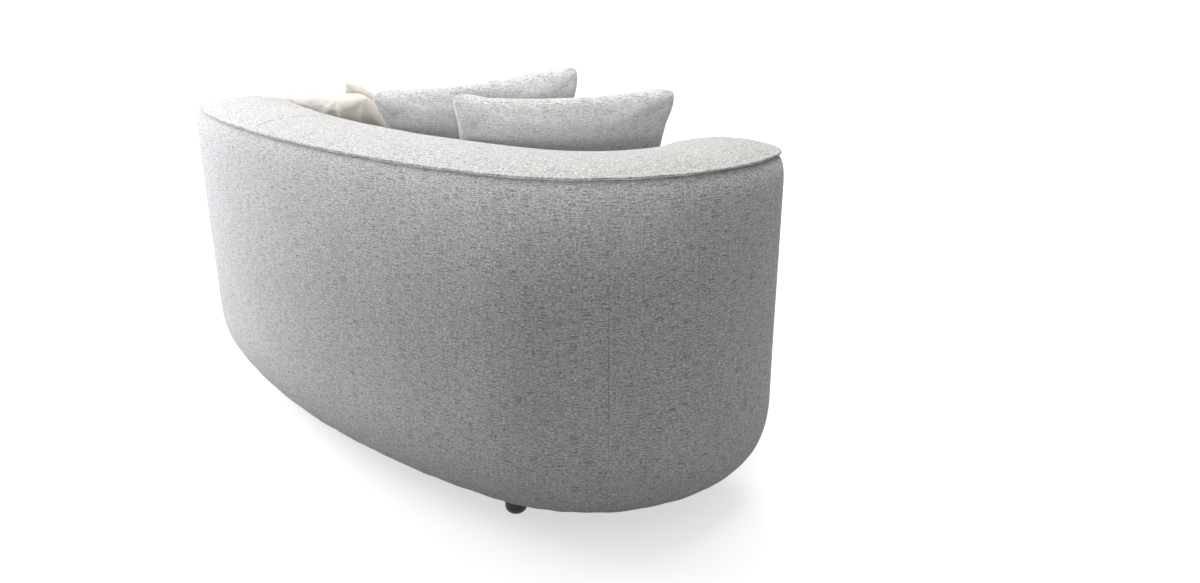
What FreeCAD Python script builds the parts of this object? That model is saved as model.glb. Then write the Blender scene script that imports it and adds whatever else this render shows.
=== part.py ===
import FreeCAD, Part
import math
import os
from collections import namedtuple

import Sketcher

# Curved-back chaise longue. Millimetres, +Z up, back towards +Y, arm end towards -X.
# The origin lies on the floor under the middle of the outline.

V = FreeCAD.Vector
UP = V(0, 0, 1)
ORIGIN = V(0, 0, 0)

os.makedirs("parts", exist_ok=True)
doc = FreeCAD.newDocument("curved_chaise")
sheet = doc.addObject("Spreadsheet::Sheet", "sizes")

# Driving sizes: alias, value, what it is (angles in degrees)
SIZES = (
    ("arm_radius", 410, "outer radius of the curve at the arm end"),
    ("arm_sweep", 90, "turn of the arm curve"),
    ("back_radius", 2050, "outer radius of the long back"),
    ("back_sweep", 30, "turn of the long back"),
    ("back_width", 236, "back from its outside to its inside"),
    ("sole_radius", 28, "what the tuck leaves of a rounded end at the floor"),
    ("corner_radius", 200, "front corner of the seat beside the arm"),
    ("end_radius", 320, "rounded foot end of the seat"),
    ("arm_crease", 75, "where the border meets the arm end, below +X"),
    ("corner_start", 172, "where the front corner starts, from +X"),
    ("far_crease", 38, "where the border meets the far end, below +X"),
    ("end_finish", 73, "where the foot end stops, from +X"),
    ("wall_seam", 400, "outer cover's seam, along the wall from the arm's tip"),
    ("top_seam", 1330, "top cover's seam, along the wall from the arm's tip"),
    ("underside", 55, "height of the covers' lower edge"),
    ("tuck_rise", 170, "height over which the walls tuck under"),
    ("rail_height", 733, "height of the covers' upper edge"),
    ("roll_inset", 15, "how far the walls roll in at the top"),
    ("roll_rise", 70, "height over which they roll in"),
    ("crown_rise", 15, "crown of the top pad"),
    ("hem_width", 22, "hem turned under the base board"),
    ("cloth", 2, "upholstery cloth with its lining"),
    ("wrap", 10, "foam wrap under the outer covers"),
    ("skin", 4, "bent skin boards"),
    ("pad_depth", 80, "foam pad of the inner back"),
    ("fit_gap", 0.3, "clearance between layers"),
    ("board", 18, "plywood of base, platform, ribs and top plate"),
    ("edge_margin", 2, "base board's edge inside the hem's fold"),
    ("plate_drop", 31, "top plate's upper face below the covers' edge"),
    ("platform_top", 258, "upper face of the seat platform"),
    ("border_top", 266, "upper edge of the border cover"),
    ("border_roll", 8, "radius of the border's upper edge"),
    ("border_lip", 22, "border cover's strip on top of the platform"),
    ("opening_long", 250, "openings in base board and platform, along X"),
    ("opening_wide", 260, "openings, along Y"),
    ("opening_pitch", 320, "spacing of the openings"),
    ("opening_first", -200, "first opening's middle in X"),
    ("opening_mid", -90, "openings' middle in Y"),
    ("rib_window_margin", 34, "wood left around a rib's window"),
    ("front_rib_depth", 95, "depth of the border's ribs"),
    ("post_side", 45, "square support posts"),
    ("post_spread", 180, "spacing of a pair of posts"),
    ("strap_width", 60, "webbing straps"),
    ("strap", 1.5, "thickness of the webbing"),
    ("strap_pitch", 80, "spacing of the straps over an opening"),
    ("strap_landing", 60, "strap's length on the platform at each end"),
    ("felt", 3, "felt over the webbing"),
    ("deck_cloth", 1, "cloth over the felt"),
    ("dust_cloth", 1.2, "black cloth under the base"),
    ("dust_lap", 12, "its lap over the hem"),
    ("flange_reach", 8, "flange past the top cover's edge"),
    ("flange_root", 12, "flange held in the seam"),
    ("flange", 4, "thickness of the flange"),
    ("top_pad_inset", 13, "top pad's lower block inside its edge"),
    ("bun_radius", 23, "bun feet"),
    ("bun_round", 15.5, "rounding of a bun foot"),
    ("bun_inset", 124, "bun feet inside the outer wall"),
    ("arm_bun_inset", 165, "bun foot at the arm's end inside the outer wall"),
    ("glide_radius", 7, "glides under the feet"),
    ("glide", 2, "thickness of a glide"),
    ("bolt_radius", 4, "foot bolts"),
    ("bolt_depth", 22, "bolt's length in a foot"),
    ("bolt_spare", 3, "bolt's end below the nut's upper face"),
    ("nut_flange_radius", 11, "T-nuts' flange"),
    ("nut_flange", 1.5, "thickness of that flange"),
    ("nut_wall", 1.2, "wall of a T-nut's barrel"),
    ("nut_length", 13, "length of a T-nut's barrel"),
    ("turn_gap", 0.05, "clearance of bolts, nuts and screws"),
    ("screw_radius", 2, "wood screws"),
    ("screw_head_radius", 4, "their heads"),
    ("screw_head", 3, "height of a head"),
    ("screw_length", 50, "whole length of a screw"),
    ("seat_gap", 11, "seat cushion from the inner back"),
    ("seat_inset", 8, "seat cushion inside the border"),
    ("seat_lift", 0.4, "seat cushion above the border's lip"),
    ("seat_side", 134, "height of the seat cushion's sides"),
    ("seat_crown", 24, "crown of the seat cushion"),
    ("welt_radius", 3.5, "piping of the seat cushion"),
    ("pillow_draw", 20, "how far a scatter cushion's sides draw in"),
    ("grey_width", 475, "grey scatter cushions"),
    ("grey_height", 455, "grey scatter cushions, bottom to top"),
    ("grey_depth", 124, "thickness of the grey cushions"),
    ("cream_width", 430, "long cream cushion"),
    ("cream_height", 410, "long cream cushion, bottom to top"),
    ("cream_depth", 108, "its thickness"),
    ("small_side", 400, "square cream cushion"),
    ("small_depth", 100, "its thickness"),
    ("pillow_cloth", 2, "covers of the scatter cushions"),
    ("rest_gap", 0.4, "scatter cushions above the seat"),
)

for row, (alias, value, note) in enumerate(SIZES, 1):
    sheet.set(f"A{row}", alias)
    sheet.set(f"B{row}", str(value))
    sheet.set(f"C{row}", note)
    sheet.setAlias(f"B{row}", alias)
doc.recompute()


def size(alias):
    return float(sheet.get(alias))


def polar(centre, radius, degrees):
    turn = math.radians(degrees)
    return V(centre.x + radius * math.cos(turn), centre.y + radius * math.sin(turn), 0)


# Plan: arcs that meet tangentially, worked out from the middle of the back's arc
gap = size("fit_gap")
half_sweep = size("back_sweep") / 2
far_angle = 90 - half_sweep
join_angle = 90 + half_sweep
tip_angle = join_angle + size("arm_sweep")
arm_r = size("arm_radius")
back_r = size("back_radius")
width = size("back_width")
end_r = width / 2
corner_r = size("corner_radius")
foot_r = size("end_radius")

back_mid = V(0, 0, 0)
arm_mid = polar(back_mid, back_r - arm_r, join_angle)
arm_end = polar(arm_mid, arm_r - end_r, tip_angle)
far_end = polar(back_mid, back_r - end_r, far_angle)
arm_fold = polar(arm_end, end_r, -size("arm_crease"))
corner_mid = polar(arm_fold, -corner_r, size("corner_start"))
far_fold = polar(far_end, end_r, -size("far_crease"))
foot_mid = polar(far_fold, -foot_r, size("end_finish"))
reach = foot_mid - corner_mid
front_angle = math.degrees(math.atan2(reach.y, reach.x) - math.acos((corner_r - foot_r) / reach.Length))

low = V(arm_mid.x - arm_r, min(corner_mid.y - corner_r, foot_mid.y - foot_r), 0)
high = V(foot_mid.x + foot_r, back_mid.y + back_r, 0)
shift = (low + high) * -0.5
back_mid, arm_mid, arm_end, far_end, arm_fold, corner_mid, far_fold, foot_mid = (
    point + shift
    for point in (back_mid, arm_mid, arm_end, far_end, arm_fold, corner_mid, far_fold, foot_mid)
)

# A run of the plan. An arc's radius changes by side times the inset; a line's inset is to its left.
Arc = namedtuple("Arc", "centre radius start sweep side")
Line = namedtuple("Line", "start end")

back_outer = Arc(back_mid, back_r, far_angle, 2 * half_sweep, -1)
arm_outer = Arc(arm_mid, arm_r, join_angle, size("arm_sweep"), -1)
arm_cap_outer = Arc(arm_end, end_r, tip_angle, 360 - size("arm_crease") - tip_angle, -1)
arm_cap_inner = Arc(arm_end, end_r, 360 - size("arm_crease"), tip_angle - 180 + size("arm_crease"), -1)
arm_crease = Arc(arm_fold, 0, 180 - size("arm_crease"), size("corner_start") - 360 + size("arm_crease"), 1)
corner = Arc(corner_mid, corner_r, size("corner_start"), front_angle + 360 - size("corner_start"), -1)
front = Line(polar(corner_mid, corner_r, front_angle), polar(foot_mid, foot_r, front_angle))
foot_end = Arc(foot_mid, foot_r, front_angle, size("end_finish") - front_angle, -1)
far_crease = Arc(far_fold, 0, size("end_finish") + 180, -size("far_crease") - size("end_finish"), 1)
far_cap_outer = Arc(far_end, end_r, -size("far_crease"), far_angle + size("far_crease"), -1)
far_cap_inner = Arc(far_end, end_r, far_angle - 180, 180 - size("far_crease") - far_angle, -1)
back_inner = Arc(back_mid, back_r - width, far_angle, 2 * half_sweep, 1)
arm_inner = Arc(arm_mid, arm_r - width, join_angle, size("arm_sweep"), 1)

PERIMETER = (front, foot_end, far_crease, far_cap_outer, back_outer, arm_outer,
             arm_cap_outer, arm_crease, corner)


def part_of(arc, start, stop):
    """The piece of an arc between two angles."""
    return arc._replace(start=start, sweep=stop - start)


def normal_of(line):
    along = (line.end - line.start).normalize()
    return V(-along.y, along.x, 0)


def run_edge(run, inset, z):
    """The edge of a run of the plan at an inset, or None where it shrinks to a point."""
    if isinstance(run, Line):
        move = normal_of(run) * inset + UP * z
        return Part.makeLine(run.start + move, run.end + move)
    radius = run.radius + run.side * inset
    if radius < 1e-6:
        return None
    points = [polar(run.centre, radius, run.start + run.sweep * k / 2) + UP * z for k in range(3)]
    return Part.Arc(*points).toShape()


def outline(runs, inset, z):
    edges = [run_edge(run, inset, z) for run in runs]
    return Part.Wire([edge for edge in edges if edge is not None])


def plate(wire, thickness):
    return Part.Face(wire).extrude(UP * thickness)


def section(profile, place):
    """A face from steps (kind, points): start, line, bow through a point, ease with two poles."""
    edges = []
    first = None
    for kind, *points in profile:
        points = [place(*point) for point in points]
        if kind == "start":
            first = points[0]
        elif kind == "line":
            edges.append(Part.makeLine(last, points[0]))
        elif kind == "bow":
            edges.append(Part.Arc(last, points[0], points[1]).toShape())
        elif kind == "ease":
            curve = Part.BezierCurve()
            curve.setPoles([last] + points)
            edges.append(curve.toShape())
        last = points[-1]
    edges.append(Part.makeLine(last, first))
    return Part.Face(Part.Wire(edges))


def sweep_run(profile, run):
    """A profile of (inset, height) carried along one run of the plan."""
    if isinstance(run, Line):
        inward = normal_of(run)
        face = section(profile, lambda inset, z: run.start + inward * inset + UP * z)
        return face.extrude(run.end - run.start)
    face = section(profile, lambda inset, z: V(run.radius + run.side * inset, 0, z))
    solid = face.revolve(ORIGIN, UP, abs(run.sweep))
    solid.rotate(ORIGIN, UP, min(run.start, run.start + run.sweep))
    solid.translate(run.centre)
    return solid


def joined(solids):
    shape = solids[0].multiFuse(solids[1:]) if len(solids) > 1 else solids[0]
    return shape.removeSplitter()


def sweep_along(profile, runs):
    return [sweep_run(profile, run) for run in runs]


def rectangle(inset_low, z_low, inset_high, z_high):
    return [("start", (inset_low, z_low)), ("line", (inset_high, z_low)),
            ("line", (inset_high, z_high)), ("line", (inset_low, z_high))]


# Heights and insets that several pieces share
EASE = 0.5523  # pole distance that makes an eased corner a quarter ellipse
cloth = size("cloth")
underside = size("underside")
tuck_inset = end_r - size("sole_radius")
tuck_top = underside + size("tuck_rise")
rail_z = size("rail_height")
roll_z = rail_z - size("roll_rise")
roll_in = size("roll_inset")
roll_r = (size("roll_rise") ** 2 + roll_in ** 2) / (2 * roll_in)
roll_turn = math.asin(size("roll_rise") / roll_r)
board_low = underside + cloth
board_top = board_low + size("board")
platform_top = size("platform_top")
platform_low = platform_top - size("board")
plate_top = rail_z - size("plate_drop")
plate_low = plate_top - size("board")
inner_low = platform_top + gap
wrap_out = cloth + gap
wrap_in = wrap_out + size("wrap")
skin_out = wrap_in + gap
skin_in = skin_out + size("skin")
rib_out = skin_in + gap
pad_out = cloth + gap
pad_in = pad_out + size("pad_depth")
inner_skin_out = pad_in + gap
inner_skin_in = inner_skin_out + size("skin")
rib_in = width - inner_skin_in - gap


def tuck_up(inset):
    """From the underside up to the wall, at an inset."""
    side = tuck_inset - inset
    rise = tuck_top - underside - inset
    return ("ease", (tuck_inset - EASE * side, underside + inset), (inset, tuck_top - EASE * rise),
            (inset, tuck_top))


def tuck_down(inset):
    side = tuck_inset - inset
    rise = tuck_top - underside - inset
    return ("ease", (inset, tuck_top - EASE * rise), (tuck_inset - EASE * side, underside + inset),
            (tuck_inset, underside + inset))


def roll_mid(inset):
    return (inset + roll_r * (1 - math.cos(roll_turn / 2)), roll_z + roll_r * math.sin(roll_turn / 2))


def wall_layer(outside, inside, hem):
    """A layer of the outer wall: tucked under below, rolled in above, with a hem of that width."""
    profile = [("start", (tuck_inset + hem, underside + outside))] if hem else []
    profile += [("line" if hem else "start", (tuck_inset, underside + outside)), tuck_up(outside),
                ("line", (outside, roll_z)),
                ("bow", roll_mid(outside), (outside + roll_in, rail_z)),
                ("line", (inside + roll_in, rail_z)),
                ("bow", roll_mid(inside), (inside, roll_z)),
                ("line", (inside, tuck_top)), tuck_down(inside)]
    if hem:
        profile.append(("line", (tuck_inset + hem, underside + inside)))
    return profile


def upper_layer(outside, inside):
    """A layer of the wall above the platform: plain below, rolled in above."""
    return [("start", (outside, inner_low)), ("line", (outside, roll_z)),
            ("bow", roll_mid(outside), (outside + roll_in, rail_z)),
            ("line", (inside + roll_in, rail_z)),
            ("bow", roll_mid(inside), (inside, roll_z)), ("line", (inside, inner_low))]


nodes = []


def keep(obj, label):
    obj.Label = label
    nodes.append(obj)
    return obj


def piece(label, solids):
    """A node whose shape is made here, from one solid or several."""
    obj = doc.addObject("Part::Feature", label)
    obj.Shape = Part.makeCompound(solids) if len(solids) > 1 else solids[0]
    return keep(obj, label)


def one_solid(shape):
    assert len(shape.Solids) == 1, "a piece fell apart"
    return shape.Solids[0]


# Covers of the walls
cover = wall_layer(0, cloth, size("hem_width"))
cover_upper = upper_layer(0, cloth)
seam_angle = tip_angle - math.degrees(size("wall_seam") / arm_r)
arm_panel = sweep_along(cover, [part_of(arm_outer, seam_angle, tip_angle), arm_cap_outer])
arm_panel += sweep_along(cover_upper, [arm_cap_inner])
piece("outer_arm_cover", [one_solid(joined(arm_panel))])

back_panel = sweep_along(cover, [part_of(arm_outer, join_angle, seam_angle), back_outer, far_cap_outer])
back_panel += sweep_along(cover_upper, [far_cap_inner])
piece("outer_back_cover", [one_solid(joined(back_panel))])

piece("inner_back_cover", [one_solid(joined(sweep_along(cover_upper, [arm_inner, back_inner])))])

# Foam behind the covers
outer_runs = [far_cap_outer, back_outer, arm_outer, arm_cap_outer]
wrap_runs = sweep_along(wall_layer(wrap_out, wrap_in, 0), outer_runs)
wrap_runs += sweep_along(upper_layer(wrap_out, wrap_in), [arm_cap_inner, far_cap_inner])
piece("back_wrap", [one_solid(joined(wrap_runs))])

pad = upper_layer(pad_out, wrap_in)
pad[-1:] = [("line", (pad_in, roll_z)), ("line", (pad_in, inner_low))]
piece("inner_back_pad", [one_solid(joined(sweep_along(pad, [arm_inner, back_inner])))])

# Border of the seat: cover with a lip on the platform, and its foam
border_top = size("border_top")
lip_roll = size("border_roll")
BOW = math.sqrt(0.5)


def border_layer(outside, inside, hem, top, lip):
    round_out = lip_roll - outside
    round_in = lip_roll - inside
    top_in = top - (inside - outside)
    profile = [("start", (tuck_inset + hem, underside + outside))] if hem else []
    profile += [("line" if hem else "start", (tuck_inset, underside + outside)), tuck_up(outside),
                ("line", (outside, top - round_out)),
                ("bow", (lip_roll - BOW * round_out, top - (1 - BOW) * round_out), (lip_roll, top)),
                ("line", (lip_roll + lip, top)), ("line", (lip_roll + lip, top_in)),
                ("line", (lip_roll, top_in)),
                ("bow", (lip_roll - BOW * round_in, top_in - (1 - BOW) * round_in),
                 (inside, top_in - round_in)),
                ("line", (inside, tuck_top)), tuck_down(inside)]
    if hem:
        profile.append(("line", (tuck_inset + hem, underside + inside)))
    return profile


def crease_layer(outside, inside, hem):
    """The border's layer in the fold beside a rounded end, up to the platform."""
    profile = [("start", (tuck_inset + hem, underside + outside))] if hem else []
    profile += [("line" if hem else "start", (tuck_inset, underside + outside)), tuck_up(outside),
                ("line", (outside, platform_top)), ("line", (inside, platform_top)),
                ("line", (inside, tuck_top)), tuck_down(inside)]
    if hem:
        profile.append(("line", (tuck_inset + hem, underside + inside)))
    return profile


def wrap_profile():
    return [("start", (tuck_inset, underside + wrap_out)), tuck_up(wrap_out),
            ("line", (wrap_out, border_top - lip_roll)), ("line", (lip_roll, border_top - cloth - gap)),
            ("line", (wrap_in, border_top - cloth - gap)), ("line", (wrap_in, tuck_top)), tuck_down(wrap_in)]


border_runs = [corner, front, foot_end]
border = sweep_along(border_layer(0, cloth, size("hem_width"), border_top, size("border_lip")), border_runs)
border += sweep_along(crease_layer(0, cloth, size("hem_width")), [arm_crease, far_crease])
piece("border_cover", [one_solid(joined(border))])

border_foam = sweep_along(wrap_profile(), border_runs)
border_foam += sweep_along(crease_layer(wrap_out, wrap_in, 0), [arm_crease, far_crease])
piece("border_wrap", [one_solid(joined(border_foam))])

# Skin boards on the ribs
skin_runs = sweep_along(rectangle(skin_out, tuck_top, skin_in, roll_z), outer_runs)
skin_runs += sweep_along(rectangle(skin_out, inner_low, skin_in, roll_z), [arm_cap_inner, far_cap_inner])
piece("outer_skin", [one_solid(joined(skin_runs))])
inner_board = rectangle(inner_skin_out, inner_low, inner_skin_in, plate_low)
piece("inner_skin", [one_solid(joined(sweep_along(inner_board, [arm_inner, back_inner])))])

# Top pad, its cover in two pieces, and the flange under its edge
flange_z = rail_z + gap
pad_edge_z = flange_z + size("flange") + gap
crown_top = pad_edge_z + size("crown_rise")


def crown_points(edge, top):
    """Outer edge, quarter point, middle, quarter point and inner edge of a crowned line."""
    chord = end_r - edge
    rise = top - pad_edge_z
    radius = (chord ** 2 + rise ** 2) / (2 * rise)
    quarter = top - radius + math.sqrt(radius ** 2 - chord ** 2 / 4)
    return ((edge, pad_edge_z), (edge + chord / 2, quarter), (end_r, top),
            (end_r + chord / 2, quarter), (width - edge, pad_edge_z))


def crown_cover(full):
    out = crown_points(roll_in, crown_top)
    under = crown_points(roll_in + cloth, crown_top - cloth)
    if full:
        return [("start", out[0]), ("bow", out[1], out[2]), ("bow", out[3], out[4]), ("line", under[4]),
                ("bow", under[3], under[2]), ("bow", under[1], under[0])]
    return [("start", out[0]), ("bow", out[1], out[2]), ("line", under[2]), ("bow", under[1], under[0])]


def crown_foam(full):
    line = crown_points(roll_in + cloth + gap, crown_top - cloth - gap)
    block = roll_in + size("top_pad_inset")
    low_z = plate_top + gap
    if full:
        return [("start", line[0]), ("bow", line[1], line[2]), ("bow", line[3], line[4]),
                ("line", (width - block, pad_edge_z)), ("line", (width - block, low_z)),
                ("line", (block, low_z)), ("line", (block, pad_edge_z))]
    return [("start", line[0]), ("bow", line[1], line[2]), ("line", (end_r, low_z)),
            ("line", (block, low_z)), ("line", (block, pad_edge_z))]


arm_cap = Arc(arm_end, end_r, tip_angle, 180, -1)
far_cap = Arc(far_end, end_r, far_angle - 180, 180, -1)
arm_length = arm_r * math.radians(size("arm_sweep"))
top_seam_angle = join_angle - math.degrees((size("top_seam") - arm_length) / back_r)
main_cover = sweep_along(crown_cover(True), [arm_outer, part_of(back_outer, top_seam_angle, join_angle)])
main_cover += sweep_along(crown_cover(False), [arm_cap])
piece("top_cover_main", [one_solid(joined(main_cover))])
end_cover = sweep_along(crown_cover(True), [part_of(back_outer, far_angle, top_seam_angle)])
end_cover += sweep_along(crown_cover(False), [far_cap])
piece("top_cover_end", [one_solid(joined(end_cover))])
top_foam = sweep_along(crown_foam(True), [arm_outer, back_outer])
top_foam += sweep_along(crown_foam(False), [arm_cap, far_cap])
piece("top_pad_foam", [one_solid(joined(top_foam))])

flange_out = roll_in - size("flange_reach")
flange_in = roll_in + size("flange_root")
flange = rectangle(flange_out, flange_z, flange_in, flange_z + size("flange"))
flange_runs = sweep_along(flange, [back_outer, arm_outer, arm_cap, arm_inner, back_inner, far_cap])
piece("top_flange", [one_solid(joined(flange_runs))])

# Boards: base, platform and top plate, with the same openings in base and platform
OPENINGS = 3


def opening_boxes(name, z, height):
    boxes = []
    for k in range(OPENINGS):
        box = doc.addObject("Part::Box", f"{name}_opening_{k + 1}")
        box.setExpression("Length", "sizes.opening_long")
        box.setExpression("Width", "sizes.opening_wide")
        box.Height = height
        middle_x = size("opening_first") + k * size("opening_pitch")
        corner_x = middle_x - size("opening_long") / 2
        box.Placement.Base = V(corner_x, size("opening_mid") - size("opening_wide") / 2, z)
        boxes.append(box)
    return boxes


def rounds(points, radius, low_z, high_z):
    return [Part.makeCylinder(radius, high_z - low_z, V(p.x, p.y, low_z)) for p in points]


# Places of feet and ribs
FOOT_NEAR_TIP = 12  # degrees from the arm's tip
FOOT_PAST_JOIN = 0.45  # degrees along the back past the arm's curve
FOOT_NEAR_END = 1.8  # degrees before the back's far end
FOOT_IN_CORNER = 225  # degrees around the front corner
FOOT_AT_END = 0  # degrees around the foot end
bun_inset = size("bun_inset")
front_middle = (front.start + front.end) * 0.5 + normal_of(front) * bun_inset
feet_at = (
    polar(arm_mid, arm_r - size("arm_bun_inset"), tip_angle - FOOT_NEAR_TIP),
    polar(back_mid, back_r - bun_inset, join_angle - FOOT_PAST_JOIN),
    polar(back_mid, back_r - bun_inset, far_angle + FOOT_NEAR_END),
    polar(corner_mid, corner_r - bun_inset, FOOT_IN_CORNER),
    front_middle,
    polar(foot_mid, foot_r - bun_inset, FOOT_AT_END),
)

ARM_RIBS = (0.03, 0.34, 0.64, 0.93)  # shares of the arm's curve, from its tip
BACK_RIBS = (0.1, 0.29, 0.48, 0.67, 0.86, 0.985)  # shares of the back, from the arm
CORNER_RIBS = (0.25, 0.8)  # shares of the front corner
FRONT_RIBS = (0.1, 0.36, 0.64, 0.9)  # shares of the front line
END_RIBS = (0.2, 0.42, 0.68, 0.88)  # shares of the foot end
rib_half = size("board") / 2


def rib_profile(depth, top):
    return [("start", (depth, board_top)), ("line", (tuck_inset, board_top)),
            ("ease", (tuck_inset - EASE * (tuck_inset - rib_out), board_top),
             (rib_out, tuck_top - EASE * (tuck_top - board_top)), (rib_out, tuck_top)),
            ("line", (rib_out, top)), ("line", (depth, top))]


def rib_at(profile, run, share):
    """A plate standing across a run of the plan."""
    if isinstance(run, Line):
        inward = normal_of(run)
        along = (run.end - run.start).normalize()
        base = run.start + (run.end - run.start) * share - along * rib_half
        face = section(profile, lambda inset, z: base + inward * inset + UP * z)
        return face.extrude(along * (2 * rib_half))
    face = section(profile, lambda inset, z: V(run.radius + run.side * inset, -rib_half, z))
    solid = face.extrude(V(0, 2 * rib_half, 0))
    solid.rotate(ORIGIN, UP, run.start + run.sweep * share)
    solid.translate(run.centre)
    return solid


def point_on(run, share, inset):
    if isinstance(run, Line):
        return run.start + (run.end - run.start) * share + normal_of(run) * inset
    return polar(run.centre, run.radius + run.side * inset, run.start + run.sweep * share)


margin = size("rib_window_margin")
window = rectangle(rib_out + margin, platform_top, rib_in - margin, plate_low - 2 * margin)
back_rib_places = [(arm_outer, 1 - share) for share in ARM_RIBS]
back_rib_places += [(back_outer, 1 - share) for share in BACK_RIBS]
front_rib_places = [(corner, share) for share in CORNER_RIBS] + [(front, share) for share in FRONT_RIBS]
front_rib_places += [(foot_end, share) for share in END_RIBS]
rib_middle = (rib_out + rib_in) / 2
front_rib_in = rib_out + size("front_rib_depth")
front_rib_middle = (rib_out + front_rib_in) / 2
top_screws_at = [point_on(run, share, rib_middle) for run, share in back_rib_places]
platform_screws_at = [point_on(run, share, front_rib_middle) for run, share in front_rib_places]
screw_hole = size("screw_radius") + size("turn_gap")
head_hole = size("screw_head_radius") + size("turn_gap")


def pilot_holes(points, top):
    """Holes for screws whose heads are flush with a board's upper face."""
    shanks = rounds(points, screw_hole, top - size("screw_length"), top)
    return shanks + rounds(points, head_hole, top - size("screw_head"), top)


top_holes = pilot_holes(top_screws_at, plate_top)
platform_holes = pilot_holes(platform_screws_at, platform_top)
back_ribs = []
for (run, share), point in zip(back_rib_places, top_screws_at):
    rib = rib_at(rib_profile(rib_in, plate_low), run, share).cut(rib_at(window, run, share))
    back_ribs.append(one_solid(rib.cut(Part.makeCompound(pilot_holes([point], plate_top)))))
piece("back_ribs", back_ribs)
front_ribs = []
for (run, share), point in zip(front_rib_places, platform_screws_at):
    rib = rib_at(rib_profile(front_rib_in, platform_low), run, share)
    front_ribs.append(one_solid(rib.cut(Part.makeCompound(pilot_holes([point], platform_top)))))
piece("border_ribs", front_ribs)


def band_outline(inset, z):
    """The back's own outline, rounded ends included."""
    runs = (back_outer, arm_outer, part_of(arm_cap, tip_angle, tip_angle + 90),
            part_of(arm_cap, tip_angle + 90, tip_angle + 180), part_of(arm_inner, tip_angle, join_angle),
            part_of(back_inner, join_angle, far_angle), part_of(far_cap, far_angle - 180, far_angle - 90),
            part_of(far_cap, far_angle - 90, far_angle))
    return outline(runs, inset, z)


top_plate = plate(band_outline(rib_out, plate_low), size("board"))
piece("top_plate", [one_solid(top_plate.cut(Part.makeCompound(top_holes)))])

platform_edge = rib_in + gap
platform_arcs = [part_of(back_outer, far_angle, join_angle), arm_outer]
platform_edges = [run_edge(run, platform_edge, platform_low) for run in platform_arcs]
platform_edges += [run_edge(run, rib_out, platform_low) for run in border_runs]
arm_link = Part.makeLine(platform_edges[1].lastVertex().Point, platform_edges[2].firstVertex().Point)
far_link = Part.makeLine(platform_edges[4].lastVertex().Point, platform_edges[0].firstVertex().Point)
platform_wire = Part.Wire(platform_edges[:2] + [arm_link] + platform_edges[2:] + [far_link])
platform_blank = doc.addObject("Part::Feature", "platform_blank")
platform_blank.Shape = plate(platform_wire, size("board")).cut(Part.makeCompound(platform_holes))
board_blank = doc.addObject("Part::Feature", "board_blank")
nut_hole = size("bolt_radius") + size("nut_wall") + 2 * size("turn_gap")
board_inset = tuck_inset + size("edge_margin")
board_shape = plate(outline(PERIMETER, board_inset, board_low), size("board"))
board_blank.Shape = board_shape.cut(Part.makeCompound(rounds(feet_at, nut_hole, board_low, board_top)))


def opened(label, blank, z):
    """A board with its openings cut."""
    tools = doc.addObject("Part::MultiFuse", label + "_tools")
    tools.Shapes = opening_boxes(label, z - size("board"), 3 * size("board"))
    cut = doc.addObject("Part::Cut", label)
    cut.Base = blank
    cut.Tool = tools
    return keep(cut, label)


opened("base_board", board_blank, board_low)
opened("seat_platform", platform_blank, platform_low)

# Support posts on the strips between the openings
posts = []
for k in range(OPENINGS - 1):
    for side in (-1, 1):
        post = doc.addObject("Part::Box", f"post_{len(posts) + 1}")
        post.setExpression("Length", "sizes.post_side")
        post.setExpression("Width", "sizes.post_side")
        post.setExpression("Height", "sizes.platform_top - 2 * sizes.board - sizes.underside - sizes.cloth")
        strip_x = size("opening_first") + (k + 0.5) * size("opening_pitch")
        strip_y = size("opening_mid") + side * size("post_spread") / 2
        post.Placement.Base = V(strip_x - size("post_side") / 2, strip_y - size("post_side") / 2, board_top)
        posts.append(post)


def group(label, members):
    compound = doc.addObject("Part::Compound", label)
    compound.Links = members
    return keep(compound, label)


group("support_posts", posts)

# Webbing, felt and cloth of the seat deck
STRAPS = (-1, 0, 1)
cross_straps = []
cross_start = size("opening_mid") - size("opening_wide") / 2 - size("strap_landing")
for k in range(OPENINGS):
    for step in STRAPS:
        strap = doc.addObject("Part::Box", f"cross_strap_{len(cross_straps) + 1}")
        strap.setExpression("Length", "sizes.strap_width")
        strap.setExpression("Width", "sizes.opening_wide + 2 * sizes.strap_landing")
        strap.setExpression("Height", "sizes.strap")
        strap_x = size("opening_first") + k * size("opening_pitch") + step * size("strap_pitch")
        strap.Placement.Base = V(strap_x - size("strap_width") / 2, cross_start, platform_top)
        cross_straps.append(strap)
group("webbing_cross", cross_straps)

long_straps = []
LONG_LENGTH = f"{OPENINGS - 1} * sizes.opening_pitch + sizes.opening_long + 2 * sizes.strap_landing"
long_start = size("opening_first") - size("opening_long") / 2 - size("strap_landing")
long_z = platform_top + size("strap") + gap
for step in STRAPS:
    strap = doc.addObject("Part::Box", f"long_strap_{len(long_straps) + 1}")
    strap.setExpression("Length", LONG_LENGTH)
    strap.setExpression("Width", "sizes.strap_width")
    strap.setExpression("Height", "sizes.strap")
    strap_y = size("opening_mid") + step * size("strap_pitch")
    strap.Placement.Base = V(long_start, strap_y - size("strap_width") / 2, long_z)
    long_straps.append(strap)
group("webbing_long", long_straps)


def circles_meet(centre_a, radius_a, centre_b, radius_b, side):
    """Where two circles cross, on the left or right of the line from a to b."""
    span = centre_b - centre_a
    along = (span.Length ** 2 + radius_a ** 2 - radius_b ** 2) / (2 * span.Length)
    across = math.sqrt(radius_a ** 2 - along ** 2)
    unit = V(span).normalize()
    return centre_a + unit * along + V(-unit.y, unit.x, 0) * (side * across)


def angle_from(centre, point):
    return math.degrees(math.atan2(point.y - centre.y, point.x - centre.x))


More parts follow.
